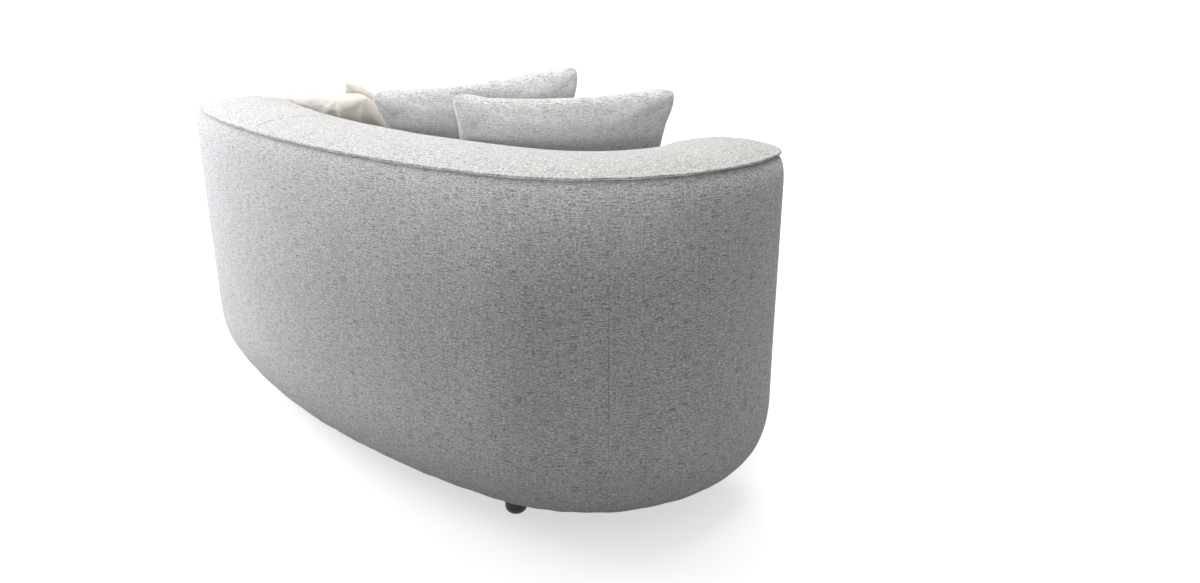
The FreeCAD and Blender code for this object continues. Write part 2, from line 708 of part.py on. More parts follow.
def seat_runs(back_gap, inset):
    """Outline of a seat layer: a gap from the back and its rounded ends, an inset from the border."""
    arm_meet = circles_meet(arm_end, end_r + back_gap, corner_mid, corner_r - inset, -1)
    far_meet = circles_meet(foot_mid, foot_r - inset, far_end, end_r + back_gap, -1)
    corner_from = angle_from(corner_mid, arm_meet) % 360
    arm_from = angle_from(arm_end, arm_meet)
    foot_to = angle_from(foot_mid, far_meet)
    far_to = angle_from(far_end, far_meet)
    front_move = normal_of(front) * inset
    return (
        Arc(back_mid, back_r - width - back_gap, far_angle, 2 * half_sweep, -1),
        Arc(arm_mid, arm_r - width - back_gap, join_angle, size("arm_sweep"), -1),
        Arc(arm_end, end_r + back_gap, tip_angle - 180, arm_from - tip_angle + 180, 1),
        Arc(corner_mid, corner_r - inset, corner_from, front_angle + 360 - corner_from, -1),
        Line(front.start + front_move, front.end + front_move),
        Arc(foot_mid, foot_r - inset, front_angle, foot_to - front_angle, -1),
        Arc(far_end, end_r + back_gap, far_to, far_angle - 180 - far_to, 1),
    )


deck_inset = lip_roll + size("border_lip") + cloth
felt_z = long_z + size("strap") + gap
cloth_z = felt_z + size("felt") + gap
piece("deck_felt", [plate(outline(seat_runs(cloth, deck_inset), 0, felt_z), size("felt"))])
piece("deck_cloth", [plate(outline(seat_runs(cloth, deck_inset), 0, cloth_z), size("deck_cloth"))])

# Seat cushion. Sides: shares of their height, and how far each level draws in.
# Crown: shares of its rise, and of the turn inside the arm by which each level draws in.
SIDE_LEVELS = ((0.0, 9), (0.07, 3), (0.25, 0), (0.75, 0), (0.93, 3), (1.0, 9))
CROWN_LEVELS = ((0.42, 0.184), (0.8, 0.46), (1.0, 0.767))
seat_turn = arm_r - width - size("seat_gap")
seat_low = border_top + size("seat_lift")
seat_high = seat_low + size("seat_side") + size("seat_crown")


def seat_form(shrink):
    """The cushion's form, smaller by an amount all round."""
    wires = []
    side_height = size("seat_side") - 2 * shrink
    for share, draw in SIDE_LEVELS:
        runs = seat_runs(size("seat_gap") + draw + shrink, size("seat_inset") + draw + shrink)
        wires.append(outline(runs, 0, seat_low + shrink + share * side_height))
    for share, turn_share in CROWN_LEVELS:
        draw = turn_share * seat_turn
        runs = seat_runs(size("seat_gap") + draw + shrink, size("seat_inset") + draw + shrink)
        wires.append(outline(runs, 0, seat_low + shrink + side_height + share * size("seat_crown")))
    return Part.makeLoft(wires, True, True)


seat_hollow = seat_form(cloth)
piece("seat_cover", [one_solid(seat_form(0).cut(seat_hollow))])
piece("seat_core", [one_solid(seat_form(cloth + gap))])


def piping(z):
    """A round cord just outside the cushion's side."""
    radius = size("welt_radius")
    out = radius + gap
    solids = []
    runs = seat_runs(size("seat_gap") - out, size("seat_inset") - out)
    for run in runs:
        edge = run_edge(run, 0, z)
        start = edge.firstVertex().Point
        direction = edge.tangentAt(edge.FirstParameter)
        ring = Part.Wire(Part.makeCircle(radius, start, direction))
        solids.append(Part.Wire(edge).makePipeShell([ring], True, False))
        solids.append(Part.makeSphere(radius, start))
    return one_solid(joined(solids))


WELT_LEVELS = (0.25, 0.75)
piece("seat_welts", [piping(seat_low + share * size("seat_side")) for share in WELT_LEVELS])

# Scatter cushions: level of the half thickness, then how much of corner and side is left there
PILLOW_LEVELS = ((0.3, 0.9, 0.935), (0.62, 0.74, 0.82), (0.86, 0.54, 0.65),
                 (0.97, 0.32, 0.41), (1.0, 0.15, 0.2))


def pillow(wide, tall, deep):
    """A knife-edged cushion about the origin: width on X, height on Y, thickness on Z."""
    draw = size("pillow_draw")
    levels = [(0, (wide / 2, tall / 2), (wide / 2 - draw, tall / 2 - draw))]
    for level, corner_share, side_share in PILLOW_LEVELS:
        corner_at = (wide / 2 * corner_share, tall / 2 * corner_share)
        levels.append((level * deep / 2, corner_at, (wide / 2 * side_share, tall / 2 * side_share)))
    wires = []
    for z, (cx, cy), (sx, sy) in levels:
        ends = [V(cx, cy, z), V(-cx, cy, z), V(-cx, -cy, z), V(cx, -cy, z)]
        mids = [V(0, sy, z), V(-sx, 0, z), V(0, -sy, z), V(sx, 0, z)]
        arcs = [Part.Arc(ends[k], mids[k], ends[(k + 1) % 4]).toShape() for k in range(4)]
        wires.append(Part.Wire(arcs))
    face_half = Part.makeLoft(wires, True, False)
    back_half = face_half.mirror(ORIGIN, UP)
    return one_solid(joined([face_half, back_half]))


def leaning(middle, level, tilt, lean, wide, tall, spin, fall):
    """Placement of a cushion on the seat from the plan of its top: its middle and the direction of its width.

    tilt tips its right end up, lean leans it back and spin turns it in its own plane. fall is the share of
    the seat's crown that has fallen away where it stands.
    """
    level = V(level).normalize()
    behind = V(level.y, -level.x, 0)
    tip = math.radians(tilt)
    across = level * math.cos(tip) + UP * math.sin(tip)
    steep = UP * math.cos(tip) - level * math.sin(tip)
    rise = steep * math.cos(math.radians(lean)) + behind * math.sin(math.radians(lean))
    face = across.cross(rise)
    turn = FreeCAD.Matrix(across.x, rise.x, face.x, 0, across.y, rise.y, face.y, 0,
                          across.z, rise.z, face.z, 0, 0, 0, 0, 1)
    ground = seat_high - fall * size("seat_crown") + size("rest_gap")
    height = ground + tall * rise.z + wide / 2 * abs(across.z)
    rotation = FreeCAD.Placement(turn).Rotation.multiply(FreeCAD.Rotation(UP, spin))
    return FreeCAD.Placement(V(middle.x, middle.y, height) - rise * (tall / 2), rotation)


SHRINK = 6  # a filling's outline inside its cover's, times the cover's thickness


def scatter_cushion(label, wide, tall, deep, place):
    skin = size("pillow_cloth")
    trim = SHRINK * skin
    hollow = pillow(wide - trim, tall - trim, deep - 2 * skin)
    filling = pillow(wide - trim - 4 * gap, tall - trim - 4 * gap, deep - 2 * skin - 2 * gap)
    for suffix, shape in (("cover", pillow(wide, tall, deep).cut(hollow)), ("fill", filling)):
        obj = piece(f"{label}_{suffix}", [one_solid(shape)])
        obj.Placement = place


# Scatter cushions on the seat. Plan points are measured from where the inner faces of arm and back
# would meet.
inner_corner = V(arm_mid.x - arm_r + width, back_mid.y + back_r - width, 0)
Stand = namedtuple("Stand", "left right tilt lean")  # ends of the top edge seen from behind, degrees
FAR_GREY = Stand(left=(656, -27), right=(400, -423), tilt=5.5, lean=34)
NEAR_GREY = Stand(left=(356, -20), right=(110, -428), tilt=0, lean=29.7)
LONG_CREAM = Stand(left=(1225, -57), right=(798, -102), tilt=3.8, lean=39.2)
SMALL_TOP = V(-59.659, 177.205, 0)  # plan of the corner that points up, from the long cream cushion's foot
SMALL_ALONG = V(-0.98, -0.2, 0)  # direction of its width
SMALL_LEAN = 49.8
SMALL_SPIN = 45
SMALL_FALL = 0.355


def stand(place, wide, tall):
    """A cushion whose top edge runs from left to right, seen from behind."""
    left = V(*place.left, 0) + inner_corner
    right = V(*place.right, 0) + inner_corner
    return leaning((left + right) * 0.5, right - left, place.tilt, place.lean, wide, tall, 0, 0)


def foot_of(place, tall):
    """Plan of the middle of the bottom edge, that stands in front of the top by the cushion's lean."""
    left = V(*place.left, 0) + inner_corner
    right = V(*place.right, 0) + inner_corner
    level = (right - left).normalize()
    behind = V(level.y, -level.x, 0)
    return (left + right) * 0.5 - behind * tall * math.sin(math.radians(place.lean))


grey = (size("grey_width"), size("grey_height"), size("grey_depth"))
cream = (size("cream_width"), size("cream_height"), size("cream_depth"))
small = (size("small_side"), size("small_side"), size("small_depth"))
small_tall = size("small_side") * math.sqrt(2)
place_a = stand(FAR_GREY, *grey[:2])
place_b = stand(NEAR_GREY, *grey[:2])
place_c = stand(LONG_CREAM, *cream[:2])
small_top = foot_of(LONG_CREAM, size("cream_height")) + SMALL_TOP
place_d = leaning(small_top, SMALL_ALONG, 0, SMALL_LEAN, 0, small_tall, SMALL_SPIN, SMALL_FALL)
scatter_cushion("cushion_a", *grey, place_a)
scatter_cushion("cushion_b", *grey, place_b)
scatter_cushion("cushion_c", *cream, place_c)
scatter_cushion("cushion_d", *small, place_d)

# Dust cover with holes for the bolts
dust_inset = tuck_inset + size("hem_width") - size("dust_lap")
dust_low = underside - size("dust_cloth")
dust = plate(outline(PERIMETER, dust_inset, dust_low), size("dust_cloth"))
bolt_hole = size("bolt_radius") + size("turn_gap")
piece("dust_cover", [one_solid(dust.cut(Part.makeCompound(rounds(feet_at, bolt_hole, dust_low, underside))))])


# Turned and drilled pieces as bodies, copied to the places of the feet
def plane_of(body, role):
    return next(item for item in body.Origin.OriginFeatures if item.Role == role)


def circle_sketch(body, name, radius_terms, z_terms=None):
    """A circle about the origin on the XY plane, its radius and height bound to the sheet."""
    sketch = body.newObject("Sketcher::SketchObject", name)
    sketch.AttachmentSupport = [(plane_of(body, "XY_Plane"), "")]
    sketch.MapMode = "FlatFace"
    sketch.addGeometry(Part.Circle(ORIGIN, UP, 10), False)
    sketch.addConstraint(Sketcher.Constraint("Coincident", 0, 3, -1, 1))
    radius = sketch.addConstraint(Sketcher.Constraint("Radius", 0, 10))
    sketch.setExpression(f"Constraints[{radius}]", radius_terms)
    if z_terms:
        sketch.setExpression(".AttachmentOffset.Base.z", z_terms)
    return sketch


def feature(body, kind, name, sketch, length_terms, reverse=False):
    item = body.newObject("PartDesign::" + kind, name)
    item.Profile = sketch
    item.setExpression("Length", length_terms)
    item.Reversed = reverse
    doc.recompute()
    return item


FOOT_HEIGHT = "sizes.underside - sizes.dust_cloth - sizes.glide"
bun = doc.addObject("PartDesign::Body", "bun_form")
bun_circle = circle_sketch(bun, "bun_circle", "sizes.bun_radius", "sizes.glide")
bun_pad = feature(bun, "Pad", "bun_pad", bun_circle, FOOT_HEIGHT)
bun_fillet = bun.newObject("PartDesign::Fillet", "bun_rounding")
low_edges = [f"Edge{k}" for k, edge in enumerate(bun_pad.Shape.Edges, 1)
             if edge.BoundBox.ZMax < size("glide") + gap]
bun_fillet.Base = (bun_pad, low_edges)
bun_fillet.setExpression("Radius", "sizes.bun_round")
doc.recompute()
solid_bun = bun_fillet.Shape.Volume
FOOT_TOP = "sizes.underside - sizes.dust_cloth"
drill = circle_sketch(bun, "bolt_circle", "sizes.bolt_radius + sizes.turn_gap", FOOT_TOP)
feature(bun, "Pocket", "bolt_pocket", drill, "sizes.bolt_depth + sizes.fit_gap")
assert bun.Shape.Volume < solid_bun, "the bolt's hole is missing"

glide = doc.addObject("PartDesign::Body", "glide_form")
feature(glide, "Pad", "glide_pad", circle_sketch(glide, "glide_circle", "sizes.glide_radius"), "sizes.glide")

BOLT_LOW = "sizes.underside - sizes.dust_cloth - sizes.bolt_depth"
bolt = doc.addObject("PartDesign::Body", "bolt_form")
feature(bolt, "Pad", "bolt_pad", circle_sketch(bolt, "bolt_round", "sizes.bolt_radius", BOLT_LOW),
        "sizes.bolt_depth + sizes.dust_cloth + sizes.cloth + sizes.board - sizes.bolt_spare")

NUT_TOP = "sizes.underside + sizes.cloth + sizes.board"
nut = doc.addObject("PartDesign::Body", "nut_form")
nut_disc = circle_sketch(nut, "nut_flange_circle", "sizes.nut_flange_radius", NUT_TOP)
feature(nut, "Pad", "nut_flange_pad", nut_disc, "sizes.nut_flange")
NUT_BORE = "sizes.bolt_radius + sizes.turn_gap"
barrel = circle_sketch(nut, "nut_barrel_circle", NUT_BORE + " + sizes.nut_wall", NUT_TOP)
feature(nut, "Pad", "nut_barrel_pad", barrel, "sizes.nut_length", True)
solid_nut = nut.Shape.Volume
bore = circle_sketch(nut, "nut_bore_circle", NUT_BORE, NUT_TOP + " + sizes.nut_flange")
feature(nut, "Pocket", "nut_bore", bore, "sizes.nut_length + sizes.nut_flange")
assert nut.Shape.Volume < solid_nut, "the nut's bore is missing"


def copies(label, body, points, z=0.0):
    """One node of equal solids, a copy of a body's shape at each place."""
    solids = []
    for point in points:
        solid = body.Shape.copy()
        solid.translate(V(point.x, point.y, z))
        solids.append(solid.Solids[0])
    return piece(label, solids)


copies("feet", bun, feet_at)
copies("foot_glides", glide, feet_at)
copies("foot_bolts", bolt, feet_at)
copies("foot_nuts", nut, feet_at)

screw = doc.addObject("PartDesign::Body", "screw_form")
feature(screw, "Pad", "screw_head_pad", circle_sketch(screw, "screw_head_circle", "sizes.screw_head_radius"),
        "sizes.screw_head", True)
feature(screw, "Pad", "screw_shank_pad", circle_sketch(screw, "screw_shank_circle", "sizes.screw_radius"),
        "sizes.screw_length - sizes.fit_gap", True)
copies("top_screws", screw, top_screws_at, plate_top)
copies("platform_screws", screw, platform_screws_at, platform_top)

doc.recompute()
for obj in doc.Objects:
    faults = [state for state in obj.State if state in ("Invalid", "Error")]
    assert not faults, f"{obj.Name} is {faults}"
for obj in nodes:
    assert not obj.Shape.isNull(), f"{obj.Label} is empty"
    assert obj.Shape.isValid(), f"{obj.Label} is not valid"
    obj.Shape.exportStep(f"parts/{obj.Label}.step")
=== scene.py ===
import math
from functools import partial

import bmesh
import bpy
import numpy as np
from mathutils import Matrix, Vector, noise


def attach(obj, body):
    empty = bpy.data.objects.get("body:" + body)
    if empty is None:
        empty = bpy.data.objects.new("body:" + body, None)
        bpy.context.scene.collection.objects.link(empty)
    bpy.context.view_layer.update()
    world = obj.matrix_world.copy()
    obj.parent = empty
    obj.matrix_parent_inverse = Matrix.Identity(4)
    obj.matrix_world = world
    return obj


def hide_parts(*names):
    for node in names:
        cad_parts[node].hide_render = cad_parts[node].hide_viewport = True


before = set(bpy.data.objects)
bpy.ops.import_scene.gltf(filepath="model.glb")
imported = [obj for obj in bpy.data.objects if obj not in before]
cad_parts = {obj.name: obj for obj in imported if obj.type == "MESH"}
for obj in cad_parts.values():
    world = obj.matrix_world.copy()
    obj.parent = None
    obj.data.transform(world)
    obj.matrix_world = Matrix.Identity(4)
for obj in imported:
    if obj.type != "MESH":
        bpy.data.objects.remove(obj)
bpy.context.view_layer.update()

# Plan and profile, in metres and degrees, as in the solids
ARM_R = 0.410
ARM_SWEEP = 90
BACK_R = 2.050
BACK_SWEEP = 30
WIDTH = 0.236
SOLE_R = 0.028
CORNER_R = 0.200
FOOT_R = 0.320
ARM_CREASE = 75
CORNER_START = 172
FAR_CREASE = 38
END_FINISH = 73
WALL_SEAM = 0.400
TOP_SEAM = 1.330
UNDERSIDE = 0.055
TUCK_RISE = 0.170
RAIL_Z = 0.733
ROLL_IN = 0.015
ROLL_RISE = 0.070
CROWN_RISE = 0.015
HEM = 0.022
CLOTH = 0.002
GAP = 0.0003
PLATFORM_TOP = 0.258
BORDER_TOP = 0.266
BORDER_ROLL = 0.008
BORDER_LIP = 0.022
FLANGE = 0.004
FLANGE_REACH = 0.008
FLANGE_ROOT = 0.012
SEAT_GAP = 0.011
SEAT_INSET = 0.008
SEAT_LIFT = 0.0004
SEAT_SIDE = 0.134
SEAT_CROWN = 0.024
WELT_R = 0.0035
REST_GAP = 0.0004
EASE = 0.5523
WALL_SLIT = 0.00002
TOP_GAP = 0.0005

# Fineness of the meshes, in metres
STEP = 0.009
FINE_STEP = 0.008
SEAM_COLUMNS = (0.0015, 0.003, 0.005)
OUTLINE_STEP = 0.02
NET = 0.05
NEAR_POINT = 1e-4
SAME_POINT = 1e-5
NO_LENGTH = 1e-6

END_R = WIDTH / 2
TUCK_IN = END_R - SOLE_R
TUCK_TOP = UNDERSIDE + TUCK_RISE
ROLL_Z = RAIL_Z - ROLL_RISE
INNER_LOW = PLATFORM_TOP + GAP
FLANGE_Z = RAIL_Z + GAP
PAD_EDGE = FLANGE_Z + FLANGE + GAP
SEAT_LOW = BORDER_TOP + SEAT_LIFT
SEAT_HIGH = SEAT_LOW + SEAT_SIDE + SEAT_CROWN
FAR_ANGLE = 90 - BACK_SWEEP / 2
JOIN_ANGLE = 90 + BACK_SWEEP / 2
TIP_ANGLE = JOIN_ANGLE + ARM_SWEEP


def polar(centre, radius, degrees):
    turn = np.radians(degrees)
    return np.array([centre[0] + radius * np.cos(turn), centre[1] + radius * np.sin(turn)])


class Arc:
    """A run of the plan. Its radius changes by side times the inset."""

    def __init__(self, centre, radius, start, sweep, side=-1):
        self.centre, self.radius = np.array(centre), radius
        self.start, self.sweep, self.side = start, sweep, side

    def length(self):
        return abs(math.radians(self.sweep)) * max(self.radius, TUCK_IN)

    def column(self, share):
        turn = math.radians(self.start + self.sweep * share)
        out = np.array([math.cos(turn), math.sin(turn)])
        return self.centre + self.radius * out, self.side * out

    def piece(self, start, stop):
        return Arc(self.centre, self.radius, start, stop - start, self.side)


class Line:
    """A straight run of the plan, with the inside on its left."""

    def __init__(self, start, end):
        self.start, self.end = np.array(start), np.array(end)
        along = (self.end - self.start) / np.linalg.norm(self.end - self.start)
        self.inward = np.array([-along[1], along[0]])

    def length(self):
        return float(np.linalg.norm(self.end - self.start))

    def column(self, share):
        return self.start + (self.end - self.start) * share, self.inward


# The plan's points, worked out from the middle of the back's arc and then centred
back_mid = np.zeros(2)
arm_mid = polar(back_mid, BACK_R - ARM_R, JOIN_ANGLE)
arm_end = polar(arm_mid, ARM_R - END_R, TIP_ANGLE)
far_end = polar(back_mid, BACK_R - END_R, FAR_ANGLE)
arm_fold = polar(arm_end, END_R, -ARM_CREASE)
corner_mid = polar(arm_fold, -CORNER_R, CORNER_START)
far_fold = polar(far_end, END_R, -FAR_CREASE)
foot_mid = polar(far_fold, -FOOT_R, END_FINISH)
reach = foot_mid - corner_mid
FRONT_ANGLE = math.degrees(math.atan2(reach[1], reach[0])
                           - math.acos((CORNER_R - FOOT_R) / np.linalg.norm(reach)))
plan_low = np.array([arm_mid[0] - ARM_R, min(corner_mid[1] - CORNER_R, foot_mid[1] - FOOT_R)])
plan_high = np.array([foot_mid[0] + FOOT_R, back_mid[1] + BACK_R])
for point in (back_mid, arm_mid, arm_end, far_end, arm_fold, corner_mid, far_fold, foot_mid):
    point -= (plan_low + plan_high) / 2

back_outer = Arc(back_mid, BACK_R, FAR_ANGLE, BACK_SWEEP)
arm_outer = Arc(arm_mid, ARM_R, JOIN_ANGLE, ARM_SWEEP)
arm_cap = Arc(arm_end, END_R, TIP_ANGLE, 180)
far_cap = Arc(far_end, END_R, FAR_ANGLE - 180, 180)
arm_cap_outer = arm_cap.piece(TIP_ANGLE, 360 - ARM_CREASE)
arm_cap_inner = arm_cap.piece(360 - ARM_CREASE, TIP_ANGLE + 180)
far_cap_outer = far_cap.piece(-FAR_CREASE, FAR_ANGLE)
far_cap_inner = far_cap.piece(FAR_ANGLE - 180, -FAR_CREASE)
arm_crease = Arc(arm_fold, 0, 180 - ARM_CREASE, CORNER_START - 360 + ARM_CREASE, 1)
corner = Arc(corner_mid, CORNER_R, CORNER_START, FRONT_ANGLE + 360 - CORNER_START)
front = Line(polar(corner_mid, CORNER_R, FRONT_ANGLE), polar(foot_mid, FOOT_R, FRONT_ANGLE))
foot_end = Arc(foot_mid, FOOT_R, FRONT_ANGLE, END_FINISH - FRONT_ANGLE)
far_crease = Arc(far_fold, 0, END_FINISH + 180, -FAR_CREASE - END_FINISH, 1)
arm_inner = Arc(arm_mid, ARM_R - WIDTH, TIP_ANGLE, -ARM_SWEEP, 1)
back_inner = Arc(back_mid, BACK_R - WIDTH, JOIN_ANGLE, -BACK_SWEEP, 1)
PERIMETER = (front, foot_end, far_crease, far_cap_outer, back_outer, arm_outer, arm_cap_outer,
             arm_crease, corner)


def chain(runs, step, fine_start=False, fine_end=False, travelled=0.0):
    """Columns along runs: points at inset 0, inward directions and lengths. A fine end has a seam."""
    points, inward, lengths = [], [], []
    for run in runs:
        count = max(2, math.ceil(run.length() / step))
        shares = list(np.linspace(0, 1, count + 1))
        close = [d / run.length() for d in SEAM_COLUMNS]
        if fine_start and run is runs[0]:
            shares[1:1] = close
        if fine_end and run is runs[-1]:
            shares[-1:-1] = [1 - share for share in reversed(close)]
        if points:
            shares = shares[1:]
        for share in shares:
            point, direction = run.column(share)
            points.append(point)
            inward.append(direction)
            lengths.append(travelled + share * run.length())
        travelled += run.length()
    return np.array(points), np.array(inward), np.array(lengths)


def spaced(points, step):
    """A polyline resampled about every step, corners kept."""
    kept = [np.array(points[0], float)]
    for start, stop in zip(points[:-1], points[1:]):
        start, stop = np.array(start, float), np.array(stop, float)
        count = max(1, round(float(np.linalg.norm(stop - start)) / step))
        kept += [start + (stop - start) * k / count for k in range(1, count + 1)]
    return np.array(kept)


def bezier(p0, p1, p2, p3, count):
    share = np.linspace(0, 1, count + 1)[:, None]
    p0, p1, p2, p3 = (np.array(p, float) for p in (p0, p1, p2, p3))
    rest = 1 - share
    return rest ** 3 * p0 + 3 * rest ** 2 * share * p1 + 3 * rest * share ** 2 * p2 + share ** 3 * p3


def stacked(*parts):
    """Polylines that share end points, as one."""
    return np.vstack([parts[0]] + [part[1:] for part in parts[1:]])


NOISE_SHIFT = (7.13, 3.71, 5.37)
NOISE_GAIN = 1.6


def soft_noise(points, scale, seed):
    """Smooth noise of about -1 to 1 at points (n, 2 or 3), features about scale long."""
    offset = Vector([seed * shift for shift in NOISE_SHIFT])
    values = [noise.noise(Vector((*p, 0.0)[:3]) / scale + offset) for p in np.asarray(points, float)]
    return np.array(values) * NOISE_GAIN


def mesh_object(name, vertices, faces, uvs=None, smooth=True):
    """A mesh object from vertices, faces and, for each face corner's vertex, a place in the cloth."""
    mesh = bpy.data.meshes.new(name)
    mesh.from_pydata([tuple(v) for v in vertices], [], [tuple(f) for f in faces])
    if uvs is not None:
        layer = mesh.uv_layers.new(name="Cloth")
        index = np.zeros(len(mesh.loops), np.int32)
        mesh.loops.foreach_get("vertex_index", index)
        layer.data.foreach_set("uv", np.asarray(uvs, np.float32)[index].ravel())
    for polygon in mesh.polygons:
        polygon.use_smooth = smooth
    obj = bpy.data.objects.new(name, mesh)
    bpy.context.scene.collection.objects.link(obj)
    return obj


class Cloth:
    """Collects grids of points into one surface, merged where they meet."""

    def __init__(self):
        self.vertices, self.faces, self.uvs = [], [], []

    def grid(self, points, uvs, closed_u=False, closed_v=False):
        rows, across = points.shape[:2]
        base = len(self.vertices)
        self.vertices += list(points.reshape(-1, 3))
        self.uvs += list(uvs.reshape(-1, 2))
        for i in range(rows if closed_u else rows - 1):
            for j in range(across if closed_v else across - 1):
                a, b = base + i * across, base + (i + 1) % rows * across
                k = (j + 1) % across
                self.faces.append((a + j, b + j, b + k, a + k))

    def make(self, name, thickness=CLOTH, outward=None):
        """The surface as an object, thickened inwards unless thickness is 0."""
        obj = mesh_object(name, self.vertices, self.faces, self.uvs)
        bm = bmesh.new()
        bm.from_mesh(obj.data)
        bmesh.ops.remove_doubles(bm, verts=bm.verts, dist=SAME_POINT)
        bmesh.ops.dissolve_degenerate(bm, edges=bm.edges, dist=NO_LENGTH)
        bmesh.ops.recalc_face_normals(bm, faces=bm.faces)
        if outward is not None:
            bm.normal_update()
            place, way = outward
            nearest = min(bm.faces, key=lambda f: (f.calc_center_median() - Vector(place)).length_squared)
            if nearest.normal.dot(Vector(way)) < 0:
                bmesh.ops.reverse_faces(bm, faces=bm.faces)
        bm.to_mesh(obj.data)
        bm.free()
        if thickness:
            thicken(obj, thickness, -1)
        return obj


def apply_modifiers(obj):
    mesh = bpy.data.meshes.new_from_object(obj.evaluated_get(bpy.context.evaluated_depsgraph_get()))
    old = obj.data
    obj.modifiers.clear()
    obj.data = mesh
    mesh.name = obj.name
    bpy.data.meshes.remove(old)


def thicken(obj, thickness, side):
    """Gives a surface a thickness, below it for side -1 and above it for side 1."""
    solid = obj.modifiers.new("Thickness", "SOLIDIFY")
    solid.thickness = thickness
    solid.offset = side
    apply_modifiers(obj)


def vertices_of(obj):
    values = np.zeros(len(obj.data.vertices) * 3)
    obj.data.vertices.foreach_get("co", values)
    return values.reshape(-1, 3)


def set_vertices(obj, values):
    obj.data.vertices.foreach_set("co", np.asarray(values, np.float32).ravel())
    obj.data.update()


def profile_normals(profile):
    """Outward normals of a profile of (inset, height) that runs from below to above."""
    along = np.gradient(profile, axis=0)
    along /= np.linalg.norm(along, axis=1)[:, None]
    return np.stack([-along[:, 1], along[:, 0]], axis=1)


def path_lengths(path):
    return np.concatenate([[0], np.cumsum(np.linalg.norm(np.diff(path, axis=0), axis=1))])


def cloth_places(along, across):
    """Places in the cloth of a grid, from its lengths along and across."""
    return np.stack(np.meshgrid(along, across, indexing="ij"), axis=2)


def sweep(columns, profile, push=None):
    """A profile's grid along columns, moved outwards by push, and its cloth places."""
    points, inward, lengths = columns
    inset = np.repeat(profile[None, :, 0], len(points), axis=0)
    height = np.repeat(profile[None, :, 1], len(points), axis=0)
    if push is not None:
        normals = profile_normals(profile)
        amount = push(lengths[:, None], profile[None, :, 0], profile[None, :, 1])
        inset = inset + amount * normals[None, :, 0]
        height = height + amount * normals[None, :, 1]
    grid = np.empty(inset.shape + (3,))
    grid[:, :, :2] = points[:, None, :] + inward[:, None, :] * inset[:, :, None]
    grid[:, :, 2] = height
    return grid, cloth_places(lengths, path_lengths(profile))


# Profiles of the covers, with the handles and the end of the wall's roll in under the flange
TUCK_PARTS, ROLL_PARTS, BORDER_PARTS = 26, 16, 6
ROLL_HANDLES = ((-0.001, ROLL_Z + 0.045), (0.004, RAIL_Z - 0.006))
ROLL_END = (0.024, RAIL_Z - 0.0004)
wall_lower = stacked(
    spaced([(TUCK_IN + HEM, UNDERSIDE), (TUCK_IN, UNDERSIDE)], STEP),
    bezier((TUCK_IN, UNDERSIDE), (TUCK_IN * (1 - EASE), UNDERSIDE), (0, TUCK_TOP - EASE * TUCK_RISE),
           (0, TUCK_TOP), TUCK_PARTS),
    spaced([(0, TUCK_TOP), (0, INNER_LOW)], STEP))
wall_upper = stacked(
    spaced([(0, INNER_LOW), (0, ROLL_Z)], STEP),
    bezier((0, ROLL_Z), *ROLL_HANDLES, ROLL_END, ROLL_PARTS))
wall_full = stacked(wall_lower, wall_upper)
border_profile = stacked(
    wall_lower[:-2],
    spaced([tuple(wall_lower[-3]), (0, BORDER_TOP - BORDER_ROLL)], STEP),
    bezier((0, BORDER_TOP - BORDER_ROLL), (0, BORDER_TOP - (1 - EASE) * BORDER_ROLL),
           ((1 - EASE) * BORDER_ROLL, BORDER_TOP), (BORDER_ROLL, BORDER_TOP), BORDER_PARTS),
    spaced([(BORDER_ROLL, BORDER_TOP), (BORDER_ROLL + BORDER_LIP, BORDER_TOP)], STEP))
crease_profile = stacked(wall_lower[:-2], spaced([tuple(wall_lower[-3]), (0, PLATFORM_TOP)], STEP))


def seam_pinch(lengths, at, depth, reach):
    return -depth * np.exp(-((lengths - at) / reach) ** 2)


# Unevenness of the covers: slow waves, gathers near the flange and the floor, and a seam's pinch
SLOW_DEPTH, SLOW_LENGTH, SLOW_RISE = 0.0013, 0.22, 0.7
TOP_GATHER, FLOOR_GATHER, GATHER_LENGTH, GATHER_RISE = 0.0007, 0.0009, 0.035, 0.18
GATHER_REACH, GATHER_END = 0.05, 0.004
CALM_END, CALM = 0.002, 0.02
WALL_PINCH = (0.0003, 0.003)


def wall_push(seed, seam_at=None):
    """Soft unevenness of a stretched cover, gathers under the flange and a pinch at its seam."""
    def push(lengths, inset, height):
        shape = np.broadcast_shapes(lengths.shape, height.shape)
        along = np.broadcast_to(lengths, shape).ravel()
        up = np.broadcast_to(height, shape).ravel()
        slow = soft_noise(np.stack([along, up * SLOW_RISE], axis=1), SLOW_LENGTH, seed)
        quick = soft_noise(np.stack([along, up * GATHER_RISE], axis=1), GATHER_LENGTH, seed + 1)
        near_top = np.exp(-((RAIL_Z - up) / GATHER_REACH) ** 2) * (up < RAIL_Z - GATHER_END)
        near_floor = np.exp(-((up - UNDERSIDE) / GATHER_REACH) ** 2)
        free = np.clip((RAIL_Z - CALM_END - up) / CALM, 0, 1)
        gathers = TOP_GATHER * quick * near_top + FLOOR_GATHER * quick * near_floor
        amount = (SLOW_DEPTH * slow + gathers) * free
        if seam_at is not None:
            amount = amount + seam_pinch(along, seam_at, *WALL_PINCH) * free
        return amount.reshape(shape)
    return push


